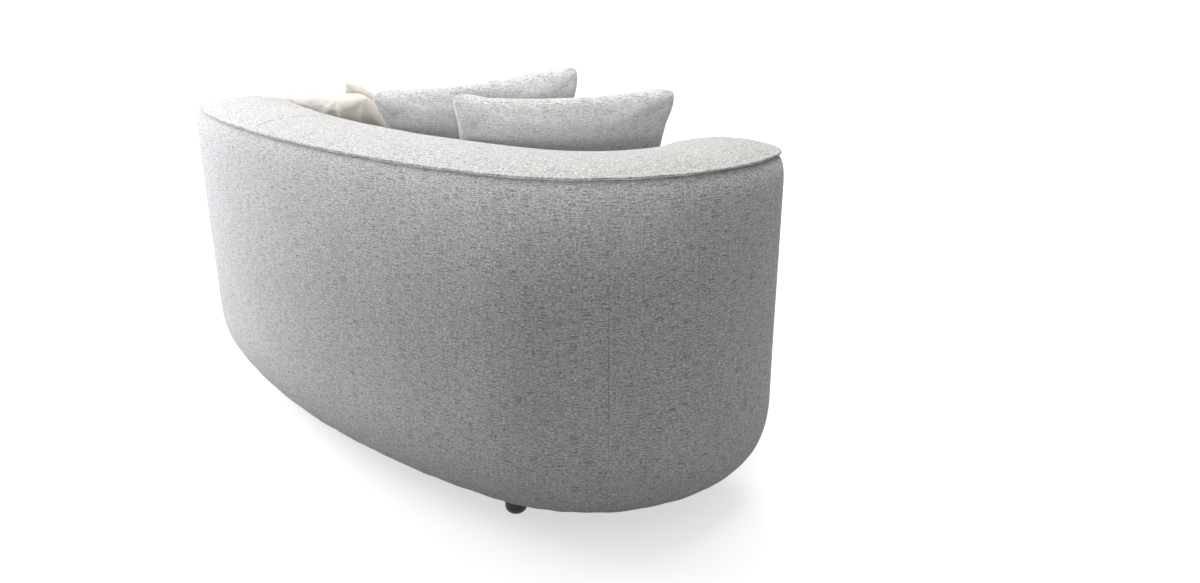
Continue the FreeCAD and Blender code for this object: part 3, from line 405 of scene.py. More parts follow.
# Outer wall in two panels that meet at an upright seam
seam_angle = TIP_ANGLE - math.degrees(WALL_SEAM / ARM_R)
SEAM_SLIT = math.degrees(WALL_SLIT / ARM_R)
arm_runs = [arm_outer.piece(seam_angle + SEAM_SLIT, TIP_ANGLE), arm_cap_outer]
wall_arm = Cloth()
arm_columns = chain(arm_runs, STEP, fine_start=True)
wall_arm.grid(*sweep(arm_columns, wall_full, wall_push(1, 0.0)))
cap_columns = chain([arm_cap_inner], STEP, travelled=arm_columns[2][-1])
wall_arm.grid(*sweep(cap_columns, wall_upper, wall_push(1)))
outer_arm = wall_arm.make("outer_arm", outward=((arm_mid[0] - ARM_R, arm_mid[1], 0.5), (-1, 0, 0)))

back_runs = [far_cap_outer, back_outer, arm_outer.piece(JOIN_ANGLE, seam_angle - SEAM_SLIT)]
wall_back = Cloth()
back_columns = chain(back_runs, STEP, fine_end=True)
wall_back.grid(*sweep(back_columns, wall_full, wall_push(2, back_columns[2][-1])))
cap_columns = chain([far_cap_inner], STEP, travelled=-far_cap_inner.length())
wall_back.grid(*sweep(cap_columns, wall_upper, wall_push(2)))
outer_back = wall_back.make("outer_back", outward=((0, back_mid[1] + BACK_R, 0.5), (0, 1, 0)))

# Inner back: a padded wall that crowns a little above the seat
PAD_BULGE, BULGE_POWER = 0.004, 0.8


def inner_push(lengths, inset, height):
    share = np.clip((height - SEAT_HIGH) / (RAIL_Z - SEAT_HIGH), 0, 1)
    return wall_push(3)(lengths, inset, height) + PAD_BULGE * np.sin(math.pi * share) ** BULGE_POWER


inner_cloth = Cloth()
inner_cloth.grid(*sweep(chain([arm_inner, back_inner], STEP), wall_upper, inner_push))
inner_back = inner_cloth.make("inner_back", outward=((0, back_mid[1] + BACK_R - WIDTH, 0.5), (0, -1, 0)))

# Border under the seat, even at its ends and at its roll
BORDER_END, BORDER_FADE = 0.06, 0.03
border_cloth = Cloth()
border_columns = chain([corner, front, foot_end], STEP)


def border_push(lengths, inset, height):
    ends = np.minimum(lengths, border_columns[2][-1] - lengths)
    below = np.clip((BORDER_TOP - BORDER_ROLL - height) / BORDER_FADE, 0, 1)
    return wall_push(4)(lengths, inset, height) * np.clip(ends / BORDER_END, 0, 1) * below


border_cloth.grid(*sweep(border_columns, border_profile, border_push))
for crease in (arm_crease, far_crease):
    border_cloth.grid(*sweep(chain([crease], STEP), crease_profile, None))
border = border_cloth.make("border", outward=((0, front.start[1], 0.2), (0, -1, 0)))


# Crowned top pad in two pieces, each running out over the flange as its upper fold
lip_out = ROLL_IN - FLANGE_REACH
lip_in = ROLL_IN + FLANGE_ROOT
LIP_FALL = 0.0005
LIP_CLEAR = 0.0002
LIP_ROUND = 0.0008
LIP_COLUMNS, HALF_COLUMNS, COLUMN_POWER, LIP_SIDES = 4, 13, 1.25, 7
CROWN_POWER = 2.4
# Waves of the flange's edge and of the pad: depth, length and, for the edge, the noise's seed
LIP_QUICK, QUICK_NOISE = 0.0007, (0.05, 9)
LIP_SLOW, SLOW_NOISE = 0.0009, (0.2, 10)
LIP_DROP, LIP_SWAY = 0.0007, 0.0009
PAD_SLOW, PAD_SLOW_LENGTH = 0.0012, 0.16
PAD_QUICK, PAD_QUICK_LENGTH = 0.0007, 0.035
TOP_PINCH = (0.0028, 0.0035)


def crown(inset):
    share = np.abs(inset - END_R) / (END_R - ROLL_IN)
    beyond = np.clip((share - 1) * (END_R - ROLL_IN) / FLANGE_REACH, 0, 1)
    return PAD_EDGE + CROWN_RISE * (1 - np.clip(share, 0, 1) ** CROWN_POWER) - LIP_FALL * beyond


def lip_wave(columns):
    """Up and down, and in and out, of the flange's edge along columns."""
    points, inward, _ = columns
    at = points + inward * lip_in
    wave = soft_noise(at, *QUICK_NOISE)
    up = LIP_QUICK * wave + LIP_SLOW * soft_noise(at, *SLOW_NOISE) - LIP_DROP
    return up, LIP_SWAY * wave


def lip_share(insets):
    """0 at the flange's root, 1 at its edge, on either side of the rail."""
    nearest = np.minimum(insets, WIDTH - insets)
    return np.clip((lip_in - nearest) / (lip_in - lip_out), 0, 1) ** 2


def pad_grid(columns, insets, seed, seam_at=None):
    points, inward, lengths = columns
    grid = np.empty((len(points), len(insets), 3))
    grid[:, :, :2] = points[:, None, :] + inward[:, None, :] * insets[None, :, None]
    flat = grid[:, :, :2].reshape(-1, 2)
    middle = np.clip(1 - np.abs(insets - END_R) / (END_R - ROLL_IN), 0, 1)
    slow = soft_noise(flat, PAD_SLOW_LENGTH, seed).reshape(grid.shape[:2])
    quick = soft_noise(flat, PAD_QUICK_LENGTH, seed + 1).reshape(grid.shape[:2])
    edge = middle * (1 - middle) * 4 * np.exp(-middle * 3)
    height = crown(insets)[None, :] + PAD_SLOW * slow * np.minimum(middle * 3, 1) + PAD_QUICK * quick * edge
    if seam_at is not None:
        pinch = seam_pinch(lengths[:, None], seam_at, *TOP_PINCH)
        height = height + pinch * np.minimum(middle * 5, 1)
    outer, inner = lip_wave(columns), lip_wave((points + inward * WIDTH, -inward, lengths))
    first_half = (insets < END_R)[None, :]
    lift = np.where(first_half, outer[0][:, None], inner[0][:, None]) * lip_share(insets)[None, :]
    grid[:, :, 2] = height + lift
    return grid, cloth_places(lengths, insets)


lip_insets = np.linspace(lip_out + LIP_ROUND, ROLL_IN, LIP_COLUMNS)[:-1]
pad_shares = np.linspace(0, 1, HALF_COLUMNS) ** COLUMN_POWER
half_insets = np.concatenate([lip_insets, ROLL_IN + (END_R - ROLL_IN) * pad_shares])
full_insets = np.concatenate([half_insets, WIDTH - half_insets[-2::-1]])
top_seam_angle = JOIN_ANGLE - math.degrees((TOP_SEAM - ARM_R * math.radians(ARM_SWEEP)) / BACK_R)
TOP_SLIT = math.degrees(TOP_GAP / BACK_R)


def top_piece(name, runs, cap, seed, seam_at_end):
    cloth = Cloth()
    columns = chain(runs, STEP, fine_start=not seam_at_end, fine_end=seam_at_end)
    cloth.grid(*pad_grid(columns, full_insets, seed, columns[2][-1] if seam_at_end else 0.0))
    cloth.grid(*pad_grid(chain([cap], STEP), half_insets, seed))
    return cloth.make(name, outward=((*runs[0].column(0.5)[0], 1.0), (0, 0, 1)))


top_main = top_piece("top_main", [back_outer.piece(top_seam_angle + TOP_SLIT, JOIN_ANGLE), arm_outer],
                     arm_cap, 5, False)
top_end = top_piece("top_end", [back_outer.piece(FAR_ANGLE, top_seam_angle - TOP_SLIT)], far_cap, 6, True)

# Flange under the pad's edge, the lower fold of the lip, that waves with it
lip_low = FLANGE_Z
lip_high = PAD_EDGE - LIP_FALL - CLOTH - LIP_CLEAR
lip_r = (lip_high - lip_low) / 2
lip_turn = np.radians(np.linspace(-90, 90, LIP_SIDES))
lip_profile = np.vstack([[(lip_in, lip_low)],
                         np.stack([lip_out + lip_r * (1 - np.cos(lip_turn)),
                                   lip_low + lip_r * (1 + np.sin(lip_turn))], axis=1),
                         [(lip_in, lip_high)]])
flange_cloth = Cloth()
ring = chain([back_outer, arm_outer, arm_cap, arm_inner, back_inner, far_cap], FINE_STEP)
ring = tuple(values[:-1] for values in ring)
lip_grid, lip_uvs = sweep(ring, lip_profile)
wave_up, wave_in = lip_wave(ring)
outer_share = lip_share(lip_profile[:, 0])
lip_grid[:, :, 2] += wave_up[:, None] * outer_share[None, :]
lip_shift = wave_in[:, None] * outer_share[None, :]
lip_grid[:, :, :2] += ring[1][:, None, :] * lip_shift[:, :, None]
flange_cloth.grid(lip_grid, lip_uvs, closed_u=True, closed_v=True)
flange = flange_cloth.make("flange", thickness=0)


def filled(name, outline, z, thickness, cell):
    """A flat cloth with the given outline, on a net of cells."""
    bm = bmesh.new()
    ring_points = [bm.verts.new((x, y, z)) for x, y in outline]
    bm.faces.new(ring_points)
    low, high = np.min(outline, axis=0), np.max(outline, axis=0)
    for axis in (0, 1):
        for at in np.arange(low[axis] + cell, high[axis], cell):
            way = Vector((1 - axis, axis, 0))
            geometry = bm.verts[:] + bm.edges[:] + bm.faces[:]
            bmesh.ops.bisect_plane(bm, geom=geometry, plane_co=way * at, plane_no=way)
    bmesh.ops.recalc_face_normals(bm, faces=bm.faces)
    vertices = [tuple(v.co) for v in bm.verts]
    bm.verts.index_update()
    faces = [[v.index for v in f.verts] for f in bm.faces]
    up = sum(f.normal.z for f in bm.faces)
    bm.free()
    if up < 0:
        faces = [face[::-1] for face in faces]
    obj = mesh_object(name, vertices, faces, np.array(vertices)[:, :2], smooth=False)
    thicken(obj, thickness, 1)
    return obj


def outline_of(runs, inset, step):
    """Closed outline of runs at an inset, as points."""
    points, inward, _ = chain(runs, step)
    ring_points = points + inward * inset
    keep = [ring_points[0]]
    for point in ring_points[1:]:
        if np.linalg.norm(point - keep[-1]) > NEAR_POINT:
            keep.append(point)
    if np.linalg.norm(keep[0] - keep[-1]) < NEAR_POINT:
        keep.pop()
    return np.array(keep)


# Dust cover under the base
DUST = 0.0012
DUST_LAP = 0.012
dust_outline = outline_of(PERIMETER, TUCK_IN + HEM - DUST_LAP, OUTLINE_STEP)
dust = filled("dust_cover_cloth", dust_outline, UNDERSIDE - DUST, DUST, NET)


def meet(centre_a, radius_a, centre_b, radius_b, side):
    """Where two circles cross, left or right of the line between their centres."""
    span = centre_b - centre_a
    far = np.linalg.norm(span)
    along = (far ** 2 + radius_a ** 2 - radius_b ** 2) / (2 * far)
    across = math.sqrt(radius_a ** 2 - along ** 2)
    unit = span / far
    return centre_a + unit * along + np.array([-unit[1], unit[0]]) * side * across


def angle_from(centre, point):
    return math.degrees(math.atan2(point[1] - centre[1], point[0] - centre[0]))


def seat_runs(back_gap, inset):
    """Outline of a seat layer: a gap from the back, an inset from the border."""
    arm_meet = meet(arm_end, END_R + back_gap, corner_mid, CORNER_R - inset, -1)
    far_meet = meet(foot_mid, FOOT_R - inset, far_end, END_R + back_gap, -1)
    corner_from = angle_from(corner_mid, arm_meet) % 360
    arm_from = angle_from(arm_end, arm_meet)
    foot_to = angle_from(foot_mid, far_meet)
    far_to = angle_from(far_end, far_meet)
    move = front.inward * inset
    return (
        Arc(back_mid, BACK_R - WIDTH - back_gap, FAR_ANGLE, BACK_SWEEP),
        Arc(arm_mid, ARM_R - WIDTH - back_gap, JOIN_ANGLE, ARM_SWEEP),
        Arc(arm_end, END_R + back_gap, TIP_ANGLE - 180, arm_from - TIP_ANGLE + 180),
        Arc(corner_mid, CORNER_R - inset, corner_from, FRONT_ANGLE + 360 - corner_from),
        Line(front.start + move, front.end + move),
        Arc(foot_mid, FOOT_R - inset, FRONT_ANGLE, foot_to - FRONT_ANGLE),
        Arc(far_end, END_R + back_gap, far_to, FAR_ANGLE - 180 - far_to),
    )


# Deck cloth under the seat cushion
DECK_Z = 0.2619
DECK = 0.0043
deck_inset = BORDER_ROLL + BORDER_LIP + CLOTH
deck_outline = outline_of(seat_runs(CLOTH, deck_inset), 0, OUTLINE_STEP)
deck = filled("deck_cloth_sheet", deck_outline, DECK_Z, DECK, NET)

# Seat cushion: a closed form of levels, remeshed evenly and then softened
# Its levels, as shares of the side and of the crown, with how far each is drawn in
SEAT_SIDE_LEVELS = ((0.0, 0.009), (0.03, 0.005), (0.08, 0.0025), (0.16, 0.0008), (0.25, 0.0), (0.5, -0.003),
                    (0.75, 0.0), (0.84, 0.0008), (0.92, 0.0025), (0.97, 0.005), (1.0, 0.009))
SEAT_TOP_LEVELS = ((0.2, 0.018), (0.42, 0.030), (0.62, 0.050), (0.8, 0.075), (0.93, 0.105), (1.0, 0.125))
RUN_COUNTS = (60, 20, 12, 24, 50, 40, 10)
SEAT_VOXEL, SEAT_PASSES = 0.007, 6
# Dents of its top: depth, then share, length and seed of each of its waves
DENT = 0.002
DENT_WAVES = ((0.5, 0.3, 12), (0.3, 0.09, 13))


def seat_ring(draw):
    points = []
    for run, count in zip(seat_runs(SEAT_GAP + draw, SEAT_INSET + draw), RUN_COUNTS):
        points += [run.column(k / count)[0] for k in range(count)]
    return np.array(points)


seat_rings = [(seat_ring(draw), SEAT_LOW + share * SEAT_SIDE) for share, draw in SEAT_SIDE_LEVELS]
seat_rings += [(seat_ring(draw), SEAT_LOW + SEAT_SIDE + share * SEAT_CROWN)
               for share, draw in SEAT_TOP_LEVELS]
seat_cloth = Cloth()
seat_grid = np.array([[(x, y, z) for x, y in points] for points, z in seat_rings])
seat_cloth.grid(seat_grid, np.zeros(seat_grid.shape[:2] + (2,)), closed_v=True)
ring_count = seat_grid.shape[1]
seat_cloth.faces.append(tuple(range(ring_count)))
top_start = (len(seat_rings) - 1) * ring_count
seat_cloth.faces.append(tuple(range(top_start, top_start + ring_count)))
seat = seat_cloth.make("seat_pad", thickness=0)


def box_cloth(obj):
    """Gives each face corner a place in the cloth, seen along the face's main direction."""
    mesh = obj.data
    layer = mesh.uv_layers.get("Cloth") or mesh.uv_layers.new(name="Cloth")
    for polygon in mesh.polygons:
        nx, ny, nz = (abs(c) for c in polygon.normal)
        u, v = (0, 1) if nz >= max(nx, ny) else (0, 2) if ny >= nx else (1, 2)
        for loop in polygon.loop_indices:
            point = mesh.vertices[mesh.loops[loop].vertex_index].co
            layer.data[loop].uv = (point[u], point[v])


even = seat.modifiers.new("Even", "REMESH")
even.mode = "VOXEL"
even.voxel_size = SEAT_VOXEL
ease = seat.modifiers.new("Ease", "SMOOTH")
ease.factor = 0.5
ease.iterations = SEAT_PASSES
apply_modifiers(seat)
for polygon in seat.data.polygons:
    polygon.use_smooth = True
seat_points = vertices_of(seat)
on_top = np.clip((seat_points[:, 2] - SEAT_LOW - SEAT_SIDE) / SEAT_CROWN, 0, 1)
dent = sum(share * (soft_noise(seat_points[:, :2], length, seed) - 1) for share, length, seed in DENT_WAVES)
seat_points[:, 2] += DENT * dent * on_top
set_vertices(seat, seat_points)
box_cloth(seat)


def tube(name, path, radius, sides=8):
    """A round closed cord along a closed and nearly level path of points (n, 3)."""
    path = np.asarray(path, float)
    ahead = np.roll(path, -1, axis=0) - np.roll(path, 1, axis=0)
    ahead /= np.linalg.norm(ahead, axis=1)[:, None]
    side = np.cross(ahead, np.array([0.0, 0.0, 1.0]))
    side /= np.linalg.norm(side, axis=1)[:, None]
    over = np.cross(side, ahead)
    turns = np.radians(np.arange(sides) * 360 / sides)
    rings = (path[:, None, :] + radius * (np.cos(turns)[None, :, None] * side[:, None, :]
                                          + np.sin(turns)[None, :, None] * over[:, None, :]))
    cloth = Cloth()
    cloth.grid(rings, cloth_places(path_lengths(path), turns * radius), closed_u=True, closed_v=True)
    return cloth.make(name, thickness=0)


WELT_LEVELS = (0.25, 0.75)
welts = []
for number, share in enumerate(WELT_LEVELS, 1):
    out = WELT_R + GAP
    points = []
    for run in seat_runs(SEAT_GAP - out, SEAT_INSET - out):
        count = max(3, math.ceil(run.length() / FINE_STEP))
        points += [(*run.column(k / count)[0], SEAT_LOW + share * SEAT_SIDE) for k in range(count)]
    welts.append(tube(f"seat_welt_{number}", points, WELT_R))

# Scatter cushions: a filled form of two sewn panels, whose skin a short cloth simulation then creases
FRAMES = 14
SETTLE = 0.009
SLACK = 0.035
CELLS = 52
CROWDING = 0.25
CORNER_TRIM, TRIM_POWER = 0.045, 7
PILLOW_POWER, EAR_SLIM = 3.2, 0.3
COVER_SHARES = (0.99, 0.99, 0.98)


def pillow_panels(wide, tall, deep, cells, slim, drawn):
    """A filled cushion, its sides drawn in between round corners: vertices, faces and cloth places."""
    left, right, bottom, top = drawn
    vertices, faces, uvs = [], [], []
    index = {}

    def key_of(i, j, side):
        """A point of the net. Both panels share those on the seam, with side 0."""
        return i, j, 0 if i in (0, cells) or j in (0, cells) else side

    shares = 2 * np.arange(cells + 1) / cells - 1
    shares = shares * (1 + CROWDING - CROWDING * shares ** 2)
    for side in (1, -1):
        for i in range(cells + 1):
            for j in range(cells + 1):
                key = key_of(i, j, side)
                if key in index:
                    continue
                s, t = shares[i], shares[j]
                trim = 1 - CORNER_TRIM * abs(s * t) ** TRIM_POWER
                x = s * (wide / 2 - (right if s > 0 else left) * (1 - t * t)) * trim
                y = t * (tall / 2 - (top if t > 0 else bottom) * (1 - s * s)) * trim
                lift = 0.0
                if key[2]:
                    rest = (1 - abs(s) ** PILLOW_POWER) * (1 - abs(t) ** PILLOW_POWER)
                    lift = side * deep / 2 * rest ** (slim * (1 - EAR_SLIM * abs(s * t)))
                index[key] = len(vertices)
                vertices.append((x, y, lift))
                uvs.append((s * wide / 2, t * tall / 2))
        for i in range(cells):
            for j in range(cells):
                ids = [index[key_of(a, b, side)]
                       for a, b in ((i, j), (i + 1, j), (i + 1, j + 1), (i, j + 1))]
                faces.append(ids if side > 0 else ids[::-1])
    return vertices, faces, uvs


def settle(obj, pressure, bending, slack):
    """Lets the skin grow by its slack under pressure, as cloth, and keeps the moves up to a limit."""
    scene = bpy.context.scene
    before = vertices_of(obj)
    cloth = obj.modifiers.new("Cloth", "CLOTH")
    settings = cloth.settings
    settings.quality = 6
    settings.mass = 0.25
    settings.tension_stiffness = 30
    settings.compression_stiffness = 30
    settings.shear_stiffness = 12
    settings.bending_stiffness = bending
    settings.shrink_min = -slack
    settings.use_pressure = True
    settings.uniform_pressure_force = pressure
    settings.effector_weights.gravity = 0
    cloth.point_cache.frame_start = 1
    cloth.point_cache.frame_end = FRAMES
    for number in range(1, FRAMES + 1):
        scene.frame_set(number)
    apply_modifiers(obj)
    scene.frame_set(1)
    moves = vertices_of(obj) - before
    moves -= moves.mean(axis=0)
    far = np.linalg.norm(moves, axis=1)[:, None]
    set_vertices(obj, before + moves * np.minimum(1, SETTLE / np.maximum(far, 1e-9)))


def leaning(middle, level, tilt, lean, wide, tall, spin, fall):
    """Placement of a cushion from the plan of its top, as in the solids."""
    level = Vector((level[0], level[1], 0)).normalized()
    behind = Vector((level.y, -level.x, 0))
    up = Vector((0, 0, 1))
    tip = math.radians(tilt)
    across = level * math.cos(tip) + up * math.sin(tip)
    steep = up * math.cos(tip) - level * math.sin(tip)
    rise = steep * math.cos(math.radians(lean)) + behind * math.sin(math.radians(lean))
    face = across.cross(rise)
    ground = SEAT_HIGH - fall * SEAT_CROWN + REST_GAP
    height = ground + tall * rise.z + wide / 2 * abs(across.z)
    centre = Vector((middle[0], middle[1], height)) - rise * (tall / 2)
    turn = Matrix((across, rise, face)).transposed() @ Matrix.Rotation(math.radians(spin), 3, "Z")
    return Matrix.Translation(centre) @ turn.to_4x4()


inner_corner = np.array([arm_mid[0] - ARM_R + WIDTH, back_mid[1] + BACK_R - WIDTH])


def stand(left, right, tilt, lean, wide, tall):
    left, right = np.array(left) + inner_corner, np.array(right) + inner_corner
    return leaning((left + right) / 2, right - left, tilt, lean, wide, tall, 0, 0)


GREY = (0.475, 0.455, 0.124)
CREAM = (0.430, 0.410, 0.108)
SMALL = (0.400, 0.400, 0.100)
place_a = stand((0.656, -0.027), (0.400, -0.423), 5.5, 34, *GREY[:2])
place_b = stand((0.356, -0.020), (0.110, -0.428), 0, 29.7, *GREY[:2])
place_c = stand((1.225, -0.057), (0.798, -0.102), 3.8, 39.2, *CREAM[:2])
place_d = leaning(np.array((0.979, -0.160)) + inner_corner, (-0.98, -0.2), 0, 49.8, 0,
                  SMALL[0] * math.sqrt(2), 45, 0.355)


def scatter(label, dims, slim, drawn, place, pressure, bending, crumple, seed):
    """A sewn cushion, settled, scaled to its size, crumpled and put in place."""
    wide, tall, deep = dims
    vertices, faces, uvs = pillow_panels(wide, tall, deep, CELLS, slim, drawn)
    obj = mesh_object(label, vertices, faces, uvs)
    sides = np.sign(vertices_of(obj)[:, 2])
    settle(obj, pressure, bending, SLACK)
    points = vertices_of(obj)
    points -= (points.max(axis=0) + points.min(axis=0)) / 2
    span = points.max(axis=0) - points.min(axis=0)
    points *= np.array([wide, tall, deep]) / span * np.array(COVER_SHARES)
    points = crumple(points, sides, wide, tall, seed)
    set_vertices(obj, points)
    subdivide = obj.modifiers.new("Finer", "SUBSURF")
    subdivide.levels = 1
    apply_modifiers(obj)
    obj.data.transform(place)
    return obj


# Bumps, pinched ears with rays, and bent ears: depths, lengths and reaches
BUMP, BUMP_LENGTH, PANELS_APART = 0.0028, 0.11, 3.0
EAR_PINCH, EAR_AT, EAR_WIDTH = 0.007, 0.075, 0.018
RAY, RAYS, RAY_REACH = 0.0028, 9, 0.11
EAR_BEND = 0.11
SEAM_FADE = 0.03
MOST_PRESSED = 0.8
# Upright creases of the cream covers
CREASE, CREASE_LENGTH, CREASE_RISE, CREASES_APART, MOST_CREASED = 0.004, 0.055, 0.3, 2.0, 0.3


def fade_at_seam(points, wide, tall):
    """0 at the seam, 1 a little way inside."""
    near = np.minimum(wide / 2 - np.abs(points[:, 0]), tall / 2 - np.abs(points[:, 1]))
    return np.clip(near / SEAM_FADE, 0, 1)


def valley(points, start, stop, breadth, depth):
    """Depth of a crease along a line, fading away from it."""
    start, stop = np.array(start), np.array(stop)
    along = (points[:, :2] - start) @ (stop - start) / np.sum((stop - start) ** 2)
    off = np.linalg.norm(points[:, :2] - (start + np.clip(along, 0, 1)[:, None] * (stop - start)), axis=1)
    return depth * np.exp(-(off / breadth) ** 2)


def plump(points, sides, wide, tall, seed, folds=(), bent=()):
    """A filled cushion with bumps, pinched ears, creases on its rear face and ears bent to its rear."""
    bumps = soft_noise(points[:, :2] + sides[:, None] * PANELS_APART, BUMP_LENGTH, seed)
    inward = BUMP * (1 - bumps)
    for x in (-wide / 2, wide / 2):
        for y in (-tall / 2, tall / 2):
            away = np.hypot(points[:, 0] - x, points[:, 1] - y)
            turn = np.arctan2(points[:, 1] - y, points[:, 0] - x)
            inward += EAR_PINCH * np.exp(-((away - EAR_AT) / EAR_WIDTH) ** 2)
            inward += RAY * (1 + np.cos(RAYS * turn + seed)) * np.exp(-(away / RAY_REACH) ** 2)
    for fold in folds:
        inward += valley(points, *fold) * (sides > 0)
    points = points.copy()
    pressed = np.minimum(inward, MOST_PRESSED * np.abs(points[:, 2]))
    points[:, 2] -= sides * pressed * fade_at_seam(points, wide, tall)
    for x, y, amount in bent:
        away = np.hypot(points[:, 0] - x * wide / 2, points[:, 1] - y * tall / 2)
        points[:, 2] += amount * np.clip(1 - away / EAR_BEND, 0, 1) ** 2
    return points


def creased(points, sides, wide, tall, seed, folds=()):
    """A slack linen cushion with upright creases and the given deep ones."""
    points = plump(points, sides, wide, tall, seed, folds)
    way = np.stack([points[:, 0], points[:, 1] * CREASE_RISE], axis=1) + sides[:, None] * CREASES_APART
    ridges = np.abs(soft_noise(way, CREASE_LENGTH, seed + 1))
    inward = np.minimum(CREASE * (1 - ridges).clip(0, 1) ** 2, MOST_CREASED * np.abs(points[:, 2]))
    points[:, 2] -= sides * inward * fade_at_seam(points, wide, tall)
    return points


# Deep creases of the long cream cushion: start and end on the panel, breadth and depth
LONG_FOLDS = (((-0.080, 0.190), (-0.125, 0.110), 0.010, 0.008),
              ((0.100, 0.185), (0.020, 0.085), 0.013, 0.005),
              ((-0.190, 0.180), (-0.130, 0.130), 0.009, 0.007),
              ((-0.200, 0.110), (-0.110, 0.070), 0.011, 0.007))
# How far each cushion's left, right, bottom and top edges are drawn in between the corners
GREY_DRAWN = (0.020, 0.003, 0.016, 0.020)
LONG_DRAWN = (0.008, 0.008, 0.016, 0.002)
SMALL_DRAWN = (0.016, 0.016, 0.016, 0.016)
# Pressure and bending stiffness of the skins
GREY_SKIN, CREAM_SKIN = (4.0, 0.6), (3.0, 0.3)
EARS_A = partial(plump, bent=((-1, 1, 0.014), (1, 1, 0.008)))
EARS_B = partial(plump, bent=((1, 1, 0.010),))
cushion_a = scatter("cushion_a", GREY, 0.5, GREY_DRAWN, place_a, *GREY_SKIN, EARS_A, 21)
cushion_b = scatter("cushion_b", GREY, 0.5, GREY_DRAWN, place_b, *GREY_SKIN, EARS_B, 22)
cushion_c = scatter("cushion_c", CREAM, 0.48, LONG_DRAWN, place_c, *CREAM_SKIN,
                    partial(creased, folds=LONG_FOLDS), 23)
cushion_d = scatter("cushion_d", SMALL, 0.56, SMALL_DRAWN, place_d, *CREAM_SKIN, creased, 24)


# Materials
def feed(tree, socket, value):
    """Links a socket to another, or sets its value."""
    if isinstance(value, bpy.types.NodeSocket):
        tree.links.new(value, socket)
    else:
        socket.default_value = value


def node(tree, kind, **values):
    """A node with its settings and what feeds its sockets."""
    made = tree.nodes.new(kind)
    for key, value in values.items():
        if hasattr(made, key):
            setattr(made, key, value)
        else:
            feed(tree, made.inputs[key], value)
    return made


def new_material(name):
    material = bpy.data.materials.new(name)
    material.use_nodes = True
    material.node_tree.nodes.clear()
    return material, material.node_tree


def shaded(tree, **values):
    """The material's shader, with what feeds its sockets."""
    shader = node(tree, "ShaderNodeBsdfPrincipled", **values)
    node(tree, "ShaderNodeOutputMaterial", Surface=shader.outputs[0])


def noise_of(tree, place, scale, detail, rough, dimensions="2D"):
    """Noise with its own scale in each direction."""
    mapping = node(tree, "ShaderNodeMapping", Vector=place, Scale=scale)
    texture = node(tree, "ShaderNodeTexNoise", noise_dimensions=dimensions, Vector=mapping.outputs[0],
                   Scale=1.0, Detail=detail, Roughness=rough)
    return texture.outputs["Fac"]


def ramp(tree, source, stops):
    made = node(tree, "ShaderNodeValToRGB", Fac=source)
    elements = made.color_ramp.elements
    for element, (at, colour) in zip(elements, stops):
        element.position = at
        element.color = (*colour, 1)
    return made.outputs["Color"]


def grey(value):
    return (value, value, value)


def multiplied(tree, first, second):
    made = node(tree, "ShaderNodeMix", data_type="RGBA", blend_type="MULTIPLY")
    for number, value in ((0, 1.0), (6, first), (7, second)):
        feed(tree, made.inputs[number], value)
    return made.outputs[2]


def calculated(tree, operation, *values):
    made = node(tree, "ShaderNodeMath", operation=operation)
    for socket, value in zip(made.inputs, values):
        feed(tree, socket, value)
    return made.outputs[0]


# Features a metre of the weave's noises, along and up the cloth
WEFT, WARP, SPECK, CLOUD = (160, 560), (560, 300), (500, 500), (9, 9)
LONG_WEFT, LONG_WARP = (38, 700), (700, 50)
WARP_SHARE, LONG_WARP_SHARE, CLOUD_DEPTH = 0.55, 0.6, 0.05
WEAVE_SHARE, CLOTH_RELIEF, GRAIN_RELIEF = 0.35, 0.0012, 0.0008


def woven(name, thread, slub, grain, pitch, bump, sheen, streak=0.0):
    """Plain-woven cloth: melange threads, slubs and long dark threads along and across, and relief."""
    material, tree = new_material(name)
    place = node(tree, "ShaderNodeUVMap", uv_map="Cloth").outputs["UV"]
    # Each noise's scale, roughness and depth, and the values at which it is dark and light
    layers = [(WEFT, 0.5, slub, 0.30, 0.64), (WARP, 0.5, slub * WARP_SHARE, 0.30, 0.62),
              (SPECK, 0.6, grain, 0.30, 0.70), (CLOUD, 0.5, CLOUD_DEPTH, 0.3, 0.7)]
    if streak:
        layers += [(LONG_WEFT, 0.5, streak, 0.35, 0.46),
                   (LONG_WARP, 0.5, streak * LONG_WARP_SHARE, 0.35, 0.46)]
    colour, noises = (*thread, 1), []
    for scale, rough, depth, dark, light in layers:
        noises.append(noise_of(tree, place, (*scale, 1), 2, rough))
        shade = ramp(tree, noises[-1], ((dark, grey(1 - depth)), (light, grey(1.0))))
        colour = multiplied(tree, colour, shade)
    split = node(tree, "ShaderNodeSeparateXYZ", Vector=place)
    waves = [calculated(tree, "SINE", calculated(tree, "MULTIPLY", split.outputs[k], 2 * math.pi / pitch))
             for k in (0, 1)]
    relief = calculated(tree, "MULTIPLY", calculated(tree, "MULTIPLY", *waves), WEAVE_SHARE)
    for number in range(3):
        relief = calculated(tree, "ADD", relief, noises[number])
    bumps = node(tree, "ShaderNodeBump", Strength=bump, Distance=CLOTH_RELIEF, Height=relief)
    shaded(tree, **{"Base Color": colour, "Roughness": 0.9, "Sheen Weight": sheen, "Sheen Roughness": 0.5,
                    "Specular IOR Level": 0.2, "Normal": bumps.outputs[0]})
    return material


def plain_solid(name, dark, light, scale, roughness, metallic=0.0):
    """A hard material with a fine grain."""
    material, tree = new_material(name)
    place = node(tree, "ShaderNodeTexCoord").outputs["Object"]
    grain = noise_of(tree, place, scale, 5.0, 0.6, "3D")
    rough = node(tree, "ShaderNodeMapRange", Value=grain,
                 **{"To Min": roughness * 0.85, "To Max": min(1.0, roughness * 1.15)})
    bumps = node(tree, "ShaderNodeBump", Strength=0.15, Distance=GRAIN_RELIEF, Height=grain)
    shaded(tree, **{"Base Color": ramp(tree, grain, ((0.3, dark), (0.7, light))),
                    "Roughness": rough.outputs[0], "Metallic": metallic, "Normal": bumps.outputs[0]})
    return material


